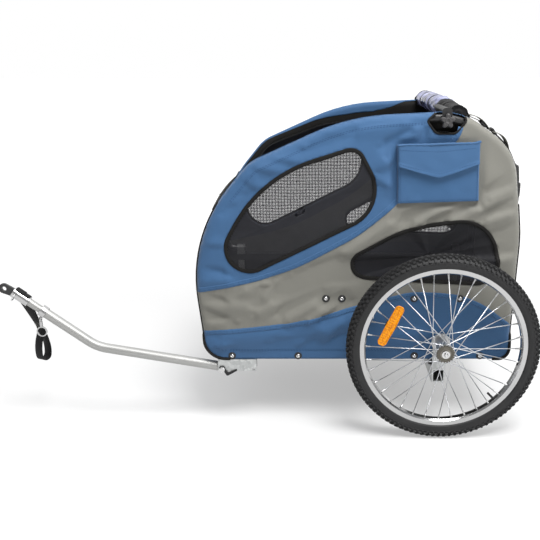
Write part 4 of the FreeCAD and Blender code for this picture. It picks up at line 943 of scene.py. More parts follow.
def makeStitches(side):
    threads = Heap()
    for line in sewnSeams:
        for across in trim["seamRows"]:
            stitchOn(threads, line, side, across, trim["seamHeight"])
    for line in sewnEdges:
        for across in trim["edgeRows"]:
            stitchOn(threads, line, side, across)
    for loop in windowEdges:
        for across, height in trim["windowRows"]:
            stitchOn(threads, loop, side, across, height, closed=True, owner=1)
    followFold(threads.piece(side + "_stitching", ["blueThread", "black"]), side)


def makePiping(side):
    pipes = Heap()
    for low, high in trim["piped"]:
        line = [p for p in outline if p[1] < trim["pipeTop"] and low < p[0] - axleX < high]
        line = onCloth(opened(np.array(line)), side)
        radii = [trim["cornerPipe"] if p.z < trim["cornerTop"] else trim["pipe"] for p in line]
        pipes.put(*tubeAlong(line, radii, trim["pipeSides"]))
    followFold(pipes.piece(side + "_edge_piping", "black"), side)


onBothSides(makeTapes, makeStitches, makePiping)
print("tapes, piping and stitches laid")


# Netting behind the windows

netPlace = {"inset": 0.0016, "lap": 0.007, "sag": 0.002, "rings": 14}


def makeNet(side):
    heap, area = Heap(), 0
    for loop in windowEdges:
        ring = offsetLine(loop, -netPlace["lap"], True)
        middle, lifts = loop.mean(0), clothLift(loop, side)
        rings, count = netPlace["rings"], len(ring)
        spots, heights = [middle], [lifts.mean() - netPlace["sag"]]
        for share in (r / rings for r in range(1, rings + 1)):
            spots += [middle + (p - middle) * share for p in ring]
            sag = netPlace["sag"] * (share ** 2 - 1)
            heights += list(lifts.mean() * (1 - share) + lifts * share + sag)
        out = sideCloth["plane"] - netPlace["inset"] + np.array(heights)
        faces = [(0, 1 + i, 1 + (i + 1) % count) for i in range(count)]
        faces += [[1 + k for k in face] for face in gridFaces(rings, count, False, True)]
        heap.put(atSide(spots, out, side), faces, [tuple(p) for p in spots])
        following = np.roll(ring, -1, 0)
        area += 0.5 * abs(np.sum(ring[:, 0] * following[:, 1] - ring[:, 1] * following[:, 0]))
    piece = heap.piece(side + "_netting", "net")
    standIn(piece, side + "_side", side + "_window_mesh")
    side + "_side_cloth"


onBothSides(makeNet)
print("netting hung")


# Cloth across the cabin: front and rear, each a skirt on the floor frame and two halves that fold

acrossCloth = {
    "low": 0.184, "seam": 0.339, "tops": {"front": 0.580, "rear": 0.9}, "frontEdge": 0.45, "rearEdge": 0.489,
    "bulge": 0.006, "fullness": (0.55, 0.45), "waves": (9, 7), "columns": 26, "thickness": 0.0012,
    "middleGap": 0.0006, "packed": 0.03, "fineStep": 0.0005, "step": 0.008,
    # levels between which the cloth is grey
    "grey": {"front": (0.262, 0.366), "rear": (0.272, 9.0)},
}
wallLines = {
    "front": [tuple(p) for p in outline[:len(outline) // 3] if p[0] < axleX - acrossCloth["frontEdge"]],
    "rear": [tuple(p) for p in outline if p[0] > acrossCloth["rearEdge"]],
}


def foldWith(piece, side):
    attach(piece, side + "_side")
    side + "_side_fold"
    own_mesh(piece)


def pathBetween(line, low, high):
    line = [p for p in evenly(line, acrossCloth["fineStep"], False) if low <= p[1] <= high]
    return evenly(line, acrossCloth["step"], False)


def normalsOf(line):
    way = np.gradient(line, axis=0)
    way /= np.linalg.norm(way, axis=1)[:, None]
    return np.stack([-way[:, 1], way[:, 0]], 1)


def bulgeAt(y):
    return acrossCloth["bulge"] * (1 - (y / sideCloth["hoopY"]) ** 2)


def crossSheet(line, ys, grey, seed):
    # sheet along an outline path and across the cabin
    columns = acrossCloth["columns"]
    (least, more), (along, across) = acrossCloth["fullness"], acrossCloth["waves"]
    points, flat = [], []
    for (x, z), (nx, nz), run in zip(line, normalsOf(line), runsOf(line)):
        for y in np.linspace(*ys, columns):
            lift = bulgeAt(y) * (least + more * noise.noise(Vector((run * along, y * across, seed))))
            points.append((x + nx * lift, y, z + nz * lift))
            flat.append((run, y))
    faces = gridFaces(len(line), columns)
    owners = [int(grey[0] < sum(points[i][2] for i in face) / 4 < grey[1]) for face in faces]
    return points, flipped(faces) if ys[1] > ys[0] else faces, flat, owners


def makeAcross(name, end, low, high, ys, node, side=None):
    path = pathBetween(wallLines[end], low, high)
    points, faces, flat, owners = crossSheet(path, ys, acrossCloth["grey"][end], len(name))
    piece = makePiece(name, points, faces, ["blue", "grey", "shadedInside", "greyShadedInside"], owners, flat)
    thicken(piece, acrossCloth["thickness"], 2)
    if side:
        foldWith(piece, side)
    else:
        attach(piece, "chassis")
    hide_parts(node)
    "grey_fabric" if end == "rear" else "blue_fabric"
    size = (abs(ys[1] - ys[0]), float(runsOf(path)[-1]))


def makeHalves(side):
    ys = [sideSign[side] * y for y in (acrossCloth["middleGap"], sideCloth["hoopY"])]
    for end, top in acrossCloth["tops"].items():
        name = side + "_" + end
        makeAcross(name + "_cloth", end, acrossCloth["seam"], top, ys, name + "_panel", side)


for end in wallLines:
    ys = (-sideCloth["hoopY"], sideCloth["hoopY"])
    makeAcross(end + "_skirt_cloth", end, acrossCloth["low"], acrossCloth["seam"], ys, end + "_skirt")
onBothSides(makeHalves)
print("front and rear cloth hung")


# Roof borders: the cloth goes over each hoop and hangs inside it, with the black zip tape along its end

roofBorder = {
    "start": 0.56, "end": 0.05, "over": 0.0125, "packed": 0.6,
    "wave": 0.0022, "waves": (14, 0.5), "waveFrom": 0.03,
    "lap": 0.002, "rows": 10, "thickness": 0.0011, "flat": 0.038,
    # x from the axle and length of cloth from the top of the hoop, millimetres
    "reach": [(-620, 10), (-450, 11), (-330, 18), (-240, 32), (-150, 36), (-95, 26), (-50, 9), (60, 6)],
    "tapeLap": 0.003, "tapeRows": 6, "tapeIn": -0.0008, "tapeThick": 0.0016, "tapeFlat": 0.049,
    "tape": [(-620, 18), (-330, 19), (-160, 20), (-110, 32), (-50, 46), (60, 46)],
    "teeth": 0.0042, "tooth": (0.0013, 0.0016, 0.0024),
}
roofLine = outline[(outline[:, 1] > roofBorder["start"]) & (outline[:, 0] < axleX + roofBorder["end"])]
roofWays, roofRuns = normalsOf(roofLine), runsOf(roofLine)
roofReach, roofTape = [fromTable(roofBorder[key], roofLine[:, 0] - axleX) for key in ("reach", "tape")]


def overHoop(i, length, side, shift=0.0):
    # where a length of cloth from the top of the hoop ends, at one point of the roof line
    over = roofBorder["over"]
    angle = min(length / over, math.pi / 2)
    down = over * (math.cos(angle) - 1) - max(length - over * math.pi / 2, 0)
    across = over * math.sin(angle) + shift
    x, z = roofLine[i] + roofWays[i] * down
    return x, sideSign[side] * (sideCloth["hoopY"] - across), z


def borderSheet(name, side, firsts, lasts, rows, looks, thick, lift=0.0):
    points, flat = [], []
    scale, seed = roofBorder["waves"]
    for i, run in enumerate(roofRuns):
        wave = roofBorder["wave"] * noise.noise(Vector((run * scale, sideSign[side], seed)))
        for length in firsts[i] + (lasts[i] - firsts[i]) * np.arange(rows) / (rows - 1):
            points.append(overHoop(i, length, side, wave * min(1, length / roofBorder["waveFrom"]) + lift))
            flat.append((run, length))
    faces = gridFaces(len(roofLine), rows)
    piece = makePiece(name, points, faces if side == "right" else flipped(faces), looks, None, flat)
    thicken(piece, thick, len(looks) - 1)
    foldWith(piece, side)
    return piece, float((lasts - firsts).mean() * roofRuns[-1])


def makeRoofBorder(side):
    long, hem = float(roofRuns[-1]), roofReach + roofTape
    piece, area = borderSheet(
        side + "_roof_border", side, roofReach * 0 - roofBorder["lap"], roofReach, roofBorder["rows"],
        ["blue", "shadedInside"], roofBorder["thickness"],
    )
    side + "_hoop"
    tape, area = borderSheet(
        side + "_roof_zip", side, roofReach - roofBorder["tapeLap"], hem, roofBorder["tapeRows"],
        ["black"], roofBorder["tapeThick"], roofBorder["tapeIn"],
    )
    side + "_roof_border"
    teeth = Heap()
    path = evenSpots([overHoop(i, length, side) for i, length in enumerate(hem)], roofBorder["teeth"])
    for spot, after in zip(path, path[1:]):
        teeth.put(*blockAt(spot, after - spot, crossways, roofBorder["tooth"]))
    foldWith(teeth.piece(side + "_zip_teeth", "plastic", False), side)


onBothSides(makeRoofBorder)
print("roof borders hung")

# Pocket on the left side, with its pointed flap

pocketBag = {
    "tilt": math.radians(1.8), "depth": 0.0165, "edge": 0.0038, "columns": 48, "rows": 36, "thickness": 0.0009,
    "sink": 0.0006, "belly": (0.86, 0.14), "bellyPower": 0.6, "pinch": 0.0012, "pinchIn": 0.02,
    # crumples: height, scales and seed
    "crumples": [(0.0010, 7, 5, 4.2), (0.0005, 19, 13, 1.7)],
    "stitchIn": 0.0075, "stitchSink": 0.0013, "stitchPitch": 0.0062, "stitchLong": 0.004,
}
pocketFlap = {
    "out": 0.0191, "left": 0.012, "span": 0.968, "drop": 0.050, "tip": 0.081, "point": 1.15,
    "columns": 48, "rows": 22,
    "thickness": 0.0012, "hem": 0.009, "hemFold": 0.0008, "curl": 0.0032, "curlPower": 5,
    "swell": 0.0034, "swellTurn": 0.75, "swellPower": 0.4, "wave": (0.0008, 6, 3, 9.1),
    "stitchRows": (0.865, 0.22), "stitchEnds": (0.03, 0.97, 60), "stitchOut": 0.0013,
    # welt over the hinge: ends and points, waves, kink at its rear end, uneven radius
    "welt": 0.0034, "weltEnds": (-0.012, 1.012, 40), "weltWaves": ((0.0008, 9), (0.0004, 13)),
    "weltKink": (0.985, 0.0025), "weltUneven": (0.92, 0.12, 17), "weltSides": 10,
}


def crowded(count):
    # shares from 0 to 1, closer together near both ends
    return [0.5 - 0.5 * math.cos(math.pi * k / (count - 1)) for k in range(count)]


def tilted(spot):
    # the pocket hangs a little askew about its middle
    x, z = spot[0] - pocketMiddle.x, spot[2] - pocketMiddle.z
    cos, sin = math.cos(pocketBag["tilt"]), math.sin(pocketBag["tilt"])
    return Vector((pocketMiddle.x + x * cos - z * sin, spot[1], pocketMiddle.z + z * cos + x * sin))


def bagSpot(u, v):
    width, height = pocketSize.x, pocketSize.z
    rise = 1
    for gap in (u * width, (1 - u) * width, v * height, (1 - v) * height):
        near = 1 - min(gap / pocketBag["edge"], 1)
        rise *= math.sqrt(1 - near * near)
    (least, more), power = pocketBag["belly"], pocketBag["bellyPower"]
    belly = least + more * math.sin(math.pi * u) ** power * math.sin(math.pi * v) ** power
    crumple = sum(
        high * noise.noise(Vector((u * across, v * up, seed)))
        for high, across, up, seed in pocketBag["crumples"]
    )
    atEnd = (u < pocketBag["pinchIn"]) - (u > 1 - pocketBag["pinchIn"])
    x = pocketLow.x + width * u + pocketBag["pinch"] * math.sin(math.pi * v) * atEnd
    out = rise * (pocketBag["depth"] * belly + crumple)
    return tilted((x, -sideCloth["plane"] + pocketBag["sink"] - out, pocketLow.z + height * v))


def makePocket():
    shares = [(u, v) for v in crowded(pocketBag["rows"]) for u in crowded(pocketBag["columns"])]
    piece = makePiece(
        "pocket_bag", [bagSpot(u, v) for u, v in shares], gridFaces(pocketBag["rows"], pocketBag["columns"]),
        ["blue", "shadedInside"], None, [(u * pocketSize.x, v * pocketSize.z) for u, v in shares],
    )
    thicken(piece, pocketBag["thickness"], 1)
    standIn(piece, "left_side", "pocket")
    threads = Heap()
    inset = pocketBag["stitchIn"]
    y = -sideCloth["plane"] - pocketBag["depth"] + pocketBag["stitchSink"]
    x0, x1, z0, z1 = pocketLow.x + inset, pocketHigh.x - inset, pocketLow.z + inset, pocketHigh.z - inset
    line = evenSpots([(x0, y, z1), (x0, y, z0), (x1, y, z0), (x1, y, z1)], pocketBag["stitchPitch"])
    sew(threads, [tilted(p) for p in line], -crossways, pocketBag["stitchLong"])
    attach(threads.piece("pocket_stitching", "blueThread"), "left_side")


def flapSpot(u, v):
    # v runs from the hinge to the pointed edge
    more = (pocketFlap["tip"] - pocketFlap["drop"]) * (1 - abs(2 * u - 1) ** pocketFlap["point"])
    drop = pocketFlap["drop"] + more
    hang = drop * v
    high, across, down, seed = pocketFlap["wave"]
    swell = pocketFlap["swell"] * math.sin(math.pi * min(v * pocketFlap["swellTurn"], 1))
    swell *= max(0, math.sin(math.pi * u)) ** pocketFlap["swellPower"]
    swell += high * noise.noise(Vector((u * across, v * down, seed)))
    fold = pocketFlap["hemFold"] if drop - hang < pocketFlap["hem"] else 0
    curl = pocketFlap["curl"] * v ** pocketFlap["curlPower"]
    x = pocketLow.x + pocketSize.x * (pocketFlap["left"] + pocketFlap["span"] * u)
    return tilted((x, -sideCloth["plane"] - pocketFlap["out"] - swell - fold - curl, pocketHigh.z - hang))


def makeFlap():
    width, columns, rows = pocketSize.x, pocketFlap["columns"], pocketFlap["rows"]
    points = [flapSpot(u, v) for v in np.linspace(0, 1, rows) for u in np.linspace(0, 1, columns)]
    piece = makePiece("pocket_flap_cloth", points, flipped(gridFaces(rows, columns)), ["blue", "shadedInside"])
    thicken(piece, pocketFlap["thickness"], 1, 1)
    standIn(piece, "pocket_flap", "pocket_flap")
    threads = Heap()
    for v in pocketFlap["stitchRows"]:
        us = np.linspace(*pocketFlap["stitchEnds"])
        line = [flapSpot(u, v) - crossways * pocketFlap["stitchOut"] for u in us]
        sew(threads, evenSpots(line, pocketBag["stitchPitch"]), -crossways, pocketBag["stitchLong"])
    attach(threads.piece("flap_stitching", "blueThread"), "pocket_flap")


def makeWelt():
    heap, line, radii = Heap(), [], []
    (least, more, turns), (kinkFrom, kink) = pocketFlap["weltUneven"], pocketFlap["weltKink"]
    for k, u in enumerate(np.linspace(*pocketFlap["weltEnds"])):
        out, up = [high * math.sin(wave * u) for high, wave in pocketFlap["weltWaves"]]
        line.append(flapSpot(u, 0) + Vector((0, out, up + (kink if u > kinkFrom else 0))))
        radii.append(pocketFlap["welt"] * (least + more * math.sin(turns * k)))
    heap.put(*tubeAlong(line, radii, pocketFlap["weltSides"]))
    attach(heap.piece("flap_welt", "blue"), "left_side")


makePocket()
makeFlap()
makeWelt()
print("pocket and flap sewn")

# Rolled cover on the roof bar: clear vinyl with black ends, held by three ties

rolledCover = {
    "radius": 0.0250, "back": 0.018, "rise": 0.002, "flat": 1.2, "columns": 120, "around": 60,
    "vinyl": (-0.118, 0.222),
    # what changes towards its left end
    "endFrom": -0.06, "endOver": 0.15, "droop": 0.012, "swing": 0.014, "narrow": 0.08,
    # height, scale along, scale round and seed
    "crease": (-0.0038, 26, 1.6, 0), "ripple": (0.0012, 70, 3, 5), "slack": (0.002, 9, 1, 11),
    "overlap": 0.0022,
    # turned-in ends
    "endRings": (0.86, 0.7, 0.52, 0.34, 0.16), "endTurns": 3.4, "endGroove": 0.0022, "endIn": 0.0024,
    "ties": (-0.149, 0.0, 0.149), "tieReach": 0.013, "tieDeep": 0.0034, "tieWide": 0.016, "tieOff": 0.0006,
    "tieSection": [(-0.5, 0.0), (-0.46, 0.0011), (0.0, 0.0014), (0.46, 0.0011), (0.5, 0.0)],
    "tieFlat": (0.02, 0.01),
}
rollLow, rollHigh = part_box("roof_roll")
rollTurns = fullTurn(rolledCover["around"])


def towardsEnd(y):
    return easing((rolledCover["endFrom"] - y) / rolledCover["endOver"])


def rollRadius(y, angle):
    def wave(key):
        high, along, around, seed = rolledCover[key]
        value = noise.noise(Vector((y * along, math.cos(angle) * around, math.sin(angle) * around + seed)))
        return high * (abs(value) if key == "crease" else value)

    near = [(y - tie) / rolledCover["tieReach"] for tie in rolledCover["ties"]]
    tied = min(sum(math.exp(-away ** 2) for away in near), 1)
    lap = rolledCover["overlap"] * (angle / (2 * math.pi) - 0.5)
    radius = rolledCover["radius"] + (wave("crease") + wave("ripple") + wave("slack") + lap) * (1 - tied)
    return radius * (1 - rolledCover["narrow"] * towardsEnd(y)) - rolledCover["tieDeep"] * tied


def rollSpot(y, angle, radius):
    middle, share = (rollLow + rollHigh) / 2, towardsEnd(y)
    x = middle.x + rolledCover["back"] + rolledCover["swing"] * share
    z = middle.z + rolledCover["rise"] - rolledCover["droop"] * share
    return Vector((x + rolledCover["flat"] * radius * math.cos(angle), y, z + radius * math.sin(angle)))


def makeRoll():
    half, columns, around = (rollHigh.y - rollLow.y) / 2, rolledCover["columns"], rolledCover["around"]
    points, flat = [], []
    for y in (half * (2 * i / (columns - 1) - 1) for i in range(columns)):
        for angle in rollTurns:
            radius = rollRadius(y, angle)
            points.append(rollSpot(y, angle, radius))
            flat.append((angle * radius, y))
    faces = gridFaces(columns, around, False, True)
    vinylFrom, vinylTo = rolledCover["vinyl"]
    owners = [0 if vinylFrom <= points[face[0]].y <= vinylTo else 1 for face in faces]
    for end, first in ((-1, 0), (1, (columns - 1) * around)):
        rows = [range(first, first + around)]
        for share in rolledCover["endRings"]:
            rows.append(range(len(points), len(points) + around))
            for angle in rollTurns:
                turn = 2 * math.pi * share * rolledCover["endTurns"] + angle
                depth = rolledCover["endIn"] - rolledCover["endGroove"] * math.sin(turn)
                radius = rollRadius(end * half, angle) * share
                points.append(rollSpot(end * (half - depth), angle, radius))
                flat.append((radius * math.cos(angle), radius * math.sin(angle)))
        closing = [
            (outer[k], inner[k], inner[(k + 1) % around], outer[(k + 1) % around])
            for outer, inner in zip(rows, rows[1:]) for k in range(around)
        ] + [tuple(rows[-1])[::-1]]
        faces += flipped(closing) if end < 0 else closing
        owners += [1] * len(closing)
    piece = makePiece("rolled_cover", points, flipped(faces), ["vinyl", "webbing"], owners, flat)
    standIn(piece, "roof_bar", "roof_roll")


def makeTies():
    bands, section = Heap(), rolledCover["tieSection"]
    flatRound, flatAlong = rolledCover["tieFlat"]
    flat = [(angle * flatRound, row * flatAlong) for row in range(len(section)) for angle in rollTurns]
    faces = flipped(gridFaces(len(section), len(rollTurns), False, True))
    wide, off = rolledCover["tieWide"], rolledCover["tieOff"]
    for tie in rolledCover["ties"]:
        points = [
            rollSpot(tie + along * wide, angle, rollRadius(tie, angle) + off + high)
            for along, high in section for angle in rollTurns
        ]
        bands.put(points, faces, flat)
    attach(bands.piece("roll_ties", "webbing"), "roof_bar")


makeRoll()
makeTies()
print("cover rolled")

# Wheels: knobbed tyre, laced spokes with nipples, reflector, lock ring

wheel = {"valveTurn": math.radians(-46), "sides": 144}
tyre = {
    # half section: out from the middle and radius, millimetres
    "section": [
        (11.2, 208.4), (13.6, 210.0), (16.2, 210.8), (18.4, 212.0), (18.4, 213.0), (20.4, 216.6), (21.1, 221),
        (20.6, 225.6), (20.9, 226.4), (20.1, 227.6), (18.4, 231.6), (15.0, 235.4), (10.2, 237.9), (5.0, 239.0),
        (0, 239.3),
    ],
    "blocks": 104, "blockTop": 0.78, "blockSeat": 0.9, "stagger": 0.5, "shoulder": 50, "broad": 1.25,
    # out, radius, lean in degrees, half length, half width, half height, turn of a pitch
    "rows": [
        (4.9, 239.4, 6, 4.4, 3.4, 2.6, 0.0), (12.4, 237.4, 26, 3.9, 3.0, 2.6, 0.5),
        (17.7, 232.6, 56, 3.3, 3.2, 2.0, 0.0), (20.0, 227.4, 78, 2.2, 2.2, 0.9, 0.5),
    ],
}
lacing = {
    "count": 36, "cross": 60, "hubRadius": 0.0225, "rimRadius": 0.1952, "flange": 0.036, "face": 0.0034,
    "rimFace": 0.003, "wire": 0.00115, "wireSides": 7,
    # elbow: along the spoke and back through the flange
    "elbow": [(0, 0.0012), (0.0008, 0.0002), (0.004, 0)],
    # profiles: along and radius
    "head": [(-0.0004, 0.0012), (0, 0.0021), (0.0007, 0.0019), (0.0011, 0.0009)], "headSides": 10,
    "nipple": [(0, 0.001302), (0.0008, 0.001995), (0.00936, 0.0021), (0.00988, 0.00273), (0.013, 0.002835)],
    "nippleLong": 0.013, "nippleSides": 8,
}
reflector = {
    "turn": 200, "radius": 0.150, "long": 0.112, "wide": 0.033, "inner": 0.0158, "outer": 0.0218, "taper": 0.42,
    "corner": 0.009, "cornerIn": 0.8, "around": 48,
    # rings of the case: in from its edge, and out from one of its faces
    "rings": [
        (0.0012, "inner", 0), (0, "inner", 0.001), (0, "outer", -0.0012), (0.0009, "outer", 0),
        (0.0023, "outer", 0), (0.0027, "outer", -0.0012),
    ],
    "cells": (16, 3), "field": (0.101, 0.0255), "cellHalf": 0.48, "cellFoot": 0.0013, "cellTip": 0.0002,
    "boss": [(0, 0.0046), (0.0012, 0.0046), (0.0016, 0.0040), (0.0016, 0.0026), (0.0008, 0.0022)],
    "bossFoot": 0.0012, "bossSides": 20, "clip": (0.008, 0.003, 0.0012), "clipAt": 0.34, "clipIn": 0.001,
}
lockRing = {
    "teeth": 20, "tooth": (1, 1, 0, 0), "toothLean": 0.3,
    # out from the middle, radius, height of a tooth
    "section": [
        (0.0402, 0.0130, 0), (0.0402, 0.0205, 0), (0.0404, 0.0206, 0.0026), (0.0420, 0.0206, 0.0026),
        (0.0424, 0.0196, 0.0020), (0.0427, 0.0172, 0), (0.0417, 0.0160, 0), (0.0417, 0.0130, 0),
    ],
}


def wheelSpot(side, radius, angle, out):
    # angle is measured from the valve, out is away from the trailer
    sign = sideSign[side]
    angle += wheel["valveTurn"]
    x, z = axleX + radius * math.cos(angle), wheelZ - sign * radius * math.sin(angle)
    return Vector((x, sign * (wheelY + out), z))


def makeTyre(side):
    heap = Heap()
    sides, blocks = wheel["sides"], tyre["blocks"]
    half = [(out / 1000, radius / 1000) for out, radius in tyre["section"]]
    profile = [(-out, radius) for out, radius in half] + half[-2::-1]
    points = [wheelSpot(side, radius, angle, out) for out, radius in profile for angle in fullTurn(sides)]
    heap.put(points, gridFaces(len(profile), sides, True, True))
    casing = len(heap.faces)
    for row in tyre["rows"]:
        out, radius, long, wide, high = [row[k] / 1000 for k in (0, 1, 3, 4, 5)]
        lean, turn = math.radians(row[2]), row[6]
        for face in (-1, 1):
            outward = crossways * (sideSign[side] * face)
            for k in range(blocks):
                angle = 2 * math.pi / blocks * (k + turn + (tyre["stagger"] if face > 0 else 0))
                at = wheelSpot(side, radius, angle, face * out)
                radial = (at - wheelSpot(side, 0, 0, face * out)).normalized()
                up = radial * math.cos(lean) + outward * math.sin(lean)
                along = radial.cross(outward).normalized()
                broad = tyre["broad"] if k % 2 and row[2] > tyre["shoulder"] else 1
                seat, size = at + up * (high * tyre["blockSeat"]), (long, wide * broad, high)
                heap.put(*blockAt(seat, along, up.cross(along), size, tyre["blockTop"]))
    piece = heap.piece(side + "_tyre_tread", "rubber", False)
    piece.data.polygons.foreach_set("use_smooth", [i < casing for i in range(len(heap.faces))])
    standIn(piece, side + "_wheel", side + "_tyre")


def makeSpokes(side):
    heap = Heap()
    for i in range(lacing["count"]):
        rimTurn = math.radians((i + 0.5) * 360 / lacing["count"])
        face = 1 if i % 2 else -1
        leading = 1 if i // 2 % 2 else -1
        hubTurn = rimTurn + leading * math.radians(lacing["cross"])
        flange, through = face * lacing["flange"], leading * lacing["face"]
        start, head = [
            wheelSpot(side, lacing["hubRadius"], hubTurn, out) for out in (flange + through, flange - through)
        ]
        end = wheelSpot(side, lacing["rimRadius"], rimTurn, face * lacing["rimFace"])
        way = (end - start).normalized()
        through = (head - start).normalized()
        elbow = [start + way * ahead + through * back for ahead, back in lacing["elbow"]]
        heap.put(*tubeAlong([head, *elbow, end], lacing["wire"], lacing["wireSides"]))
        heap.put(*turnedShape(lacing["head"], head, through, lacing["headSides"]))
        foot = end - way * lacing["nippleLong"]
        heap.put(*turnedShape(lacing["nipple"], foot, way, lacing["nippleSides"]), owner=1)
    piece = heap.piece(side + "_laced_spokes", ["spoke", "alloy"])
    standIn(piece, side + "_wheel", side + "_spokes")


def makeReflector(side):
    heap = Heap()
    middle = wheelSpot(side, reflector["radius"], math.radians(reflector["turn"]), 0)
    radial = (middle - wheelSpot(side, 0, 0, 0)).normalized()
    outward = crossways * sideSign[side]
    along = outward.cross(radial)
    inner, outer, around = reflector["inner"], reflector["outer"], reflector["around"]

    def spot(a, b, out):
        taper = 1 - reflector["taper"] * (2 * a / reflector["long"]) ** 2
        return middle + along * a + radial * (b * taper) + outward * out

    def ring(inset, out):
        # rounded oblong
        corner = reflector["corner"] - inset * reflector["cornerIn"]
        straight = [reflector[key] / 2 - inset - corner for key in ("long", "wide")]
        line = []
        for angle in fullTurn(around):
            angle += math.pi / around
            ways = zip(straight, (math.cos(angle), math.sin(angle)))
            line.append(spot(*[math.copysign(half, way) + corner * way for half, way in ways], out))
        return line

    points = [p for inset, face, out in reflector["rings"] for p in ring(inset, reflector[face] + out)]
    rings = len(reflector["rings"])
    heap.put(points, gridFaces(rings, around, False, True) + endCaps(rings, around))
    (columns, rows), (fieldLong, fieldWide) = reflector["cells"], reflector["field"]
    halfLong, halfWide = [size * reflector["cellHalf"] for size in (fieldLong / columns, fieldWide / rows)]
    for c in range(columns):
        for r in range(rows):
            a, b = fieldLong * ((c + 0.5) / columns - 0.5), fieldWide * ((r + 0.5) / rows - 0.5)
            cell = [spot(a + i * halfLong, b + j * halfWide, outer - reflector["cellFoot"]) for i, j in square]
            cell.append(spot(a, b, outer - reflector["cellTip"]))
            heap.put(cell, [(0, 1, 4), (1, 2, 4), (2, 3, 4), (3, 0, 4)])
    foot = spot(0, 0, outer - reflector["bossFoot"])
    heap.put(*turnedShape(reflector["boss"], foot, outward, reflector["bossSides"]))
    for end in (-1, 1):
        clip = spot(0, end * reflector["wide"] * reflector["clipAt"], inner - reflector["clipIn"])
        heap.put(*blockAt(clip, along, radial, reflector["clip"]), owner=1)
    piece = heap.piece(side + "_spoke_reflector", ["amber", "plastic"], False)
    standIn(piece, side + "_wheel", side + "_reflector")


def makeLockRing(side):
    # dark toothed ring round the bearing, on the hub's outer end
    tooth = lockRing["tooth"] * lockRing["teeth"]
    sides = len(tooth)
    heap = Heap()
    points = [
        wheelSpot(side, radius + high * up, 2 * math.pi * (k + lockRing["toothLean"] * up) / sides, out)
        for out, radius, high in lockRing["section"] for k, up in enumerate(tooth)
    ]
    heap.put(points, gridFaces(len(lockRing["section"]), sides, True, True))
    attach(heap.piece(side + "_lock_ring", "darkSteel", False), side + "_wheel")


onBothSides(makeTyre, makeSpokes, makeReflector, makeLockRing)
print("wheels laced")

# Star knobs on the roof bar's ends

starKnob = {
    "lobes": 5, "radius": 0.0155, "lobe": 0.0036, "blunt": 0.25, "sides": 80,
    # distance below the outer face, share of the radius, share of the lobes
    "section": [
        (0.0128, 0.62, 0.4), (0.0126, 0.80, 0.9), (0.0112, 0.93, 1.0), (0.0085, 1.0, 1.0), (0.0050, 1.0, 1.0),
        (0.0022, 0.95, 1.0), (0.0007, 0.85, 0.9), (0.0003, 0.70, 0.5), (0.0010, 0.56, 0.1), (0.0012, 0.50, 0.0),
        (0.0004, 0.46, 0.0), (0.0004, 0.30, 0.0), (0.0014, 0.26, 0.0), (0.0014, 0.05, 0.0),
    ],
    "neck": [(0, 0.0062), (0.0008, 0.0075), (0.0105, 0.0075), (0.0115, 0.0068)], "neckSides": 28,
}


def makeKnob(side):
    low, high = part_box(side + "_knob")
    outward = crossways * sideSign[side]
    middle = Vector(((low.x + high.x) / 2, 0, (low.z + high.z) / 2))
    inner, outer = sorted((abs(low.y), abs(high.y)))
    sides, rows = starKnob["sides"], len(starKnob["section"])
    points = []
    for below, share, lobes in starKnob["section"]:
        for angle in fullTurn(sides):
            wave = math.cos(starKnob["lobes"] * (angle - math.pi / 2))
            lobe = starKnob["lobe"] * lobes * (wave - starKnob["blunt"] * wave * wave)
            radius = starKnob["radius"] * share + lobe
            star = Vector((radius * math.cos(angle), 0, radius * math.sin(angle)))
            points.append(middle + star + outward * (outer - below))
    faces = gridFaces(rows, sides, False, True) + endCaps(rows, sides)[1:]
    heap = Heap()
    heap.put(points, faces if side == "left" else flipped(faces))
    heap.put(*turnedShape(starKnob["neck"], middle + outward * inner, outward, starKnob["neckSides"]))
    standIn(heap.piece(side + "_star_knob", "knob"), side + "_knob", side + "_knob")


onBothSides(makeKnob)

# Screws: domed heads on black washers

screw = {
    # profiles: out from the cloth and radius
    "washer": [(-0.001, 0.0097), (0.00085, 0.0100), (0.001445, 0.0096), (0.0017, 0.0088), (0.0017, 0.0060)],
    "washerThick": 0.0017, "washerSides": 28,
    "head": 0.0056, "headHigh": 0.0036, "headFoot": 0.00136, "headSides": 24,
    "dome": (0.12, 0.35, 0.6, 0.85, 1.08),
    "socket": [(0.005048, 0.0017), (0.00332, 0.001564), (0.003212, 0.0002)],
}


def makeScrews():
    heap = Heap()
    thick, wide, high = screw["washerThick"], screw["head"], screw["headHigh"]
    dome = [(thick + high * math.sin(a), wide * math.cos(a)) for a in screw["dome"]]
    head = [(screw["headFoot"], wide), *dome, *screw["socket"]]
    for side, sign in sideSign.items():
        for x, z in screwSpots[side]:
            at = Vector((x, sign * sideCloth["plane"], z))
            heap.put(*turnedShape(screw["washer"], at, crossways * sign, screw["washerSides"]))
            heap.put(*turnedShape(head, at, crossways * sign, screw["headSides"]), owner=1)
    standIn(heap.piece("cover_screws", ["plastic", "screw"]), "chassis", "panel_screws")


makeScrews()
print("knobs and screws set")

# Safety strap: black webbing over the back of the coupler sleeve, doubled and sewn, with an open loop below

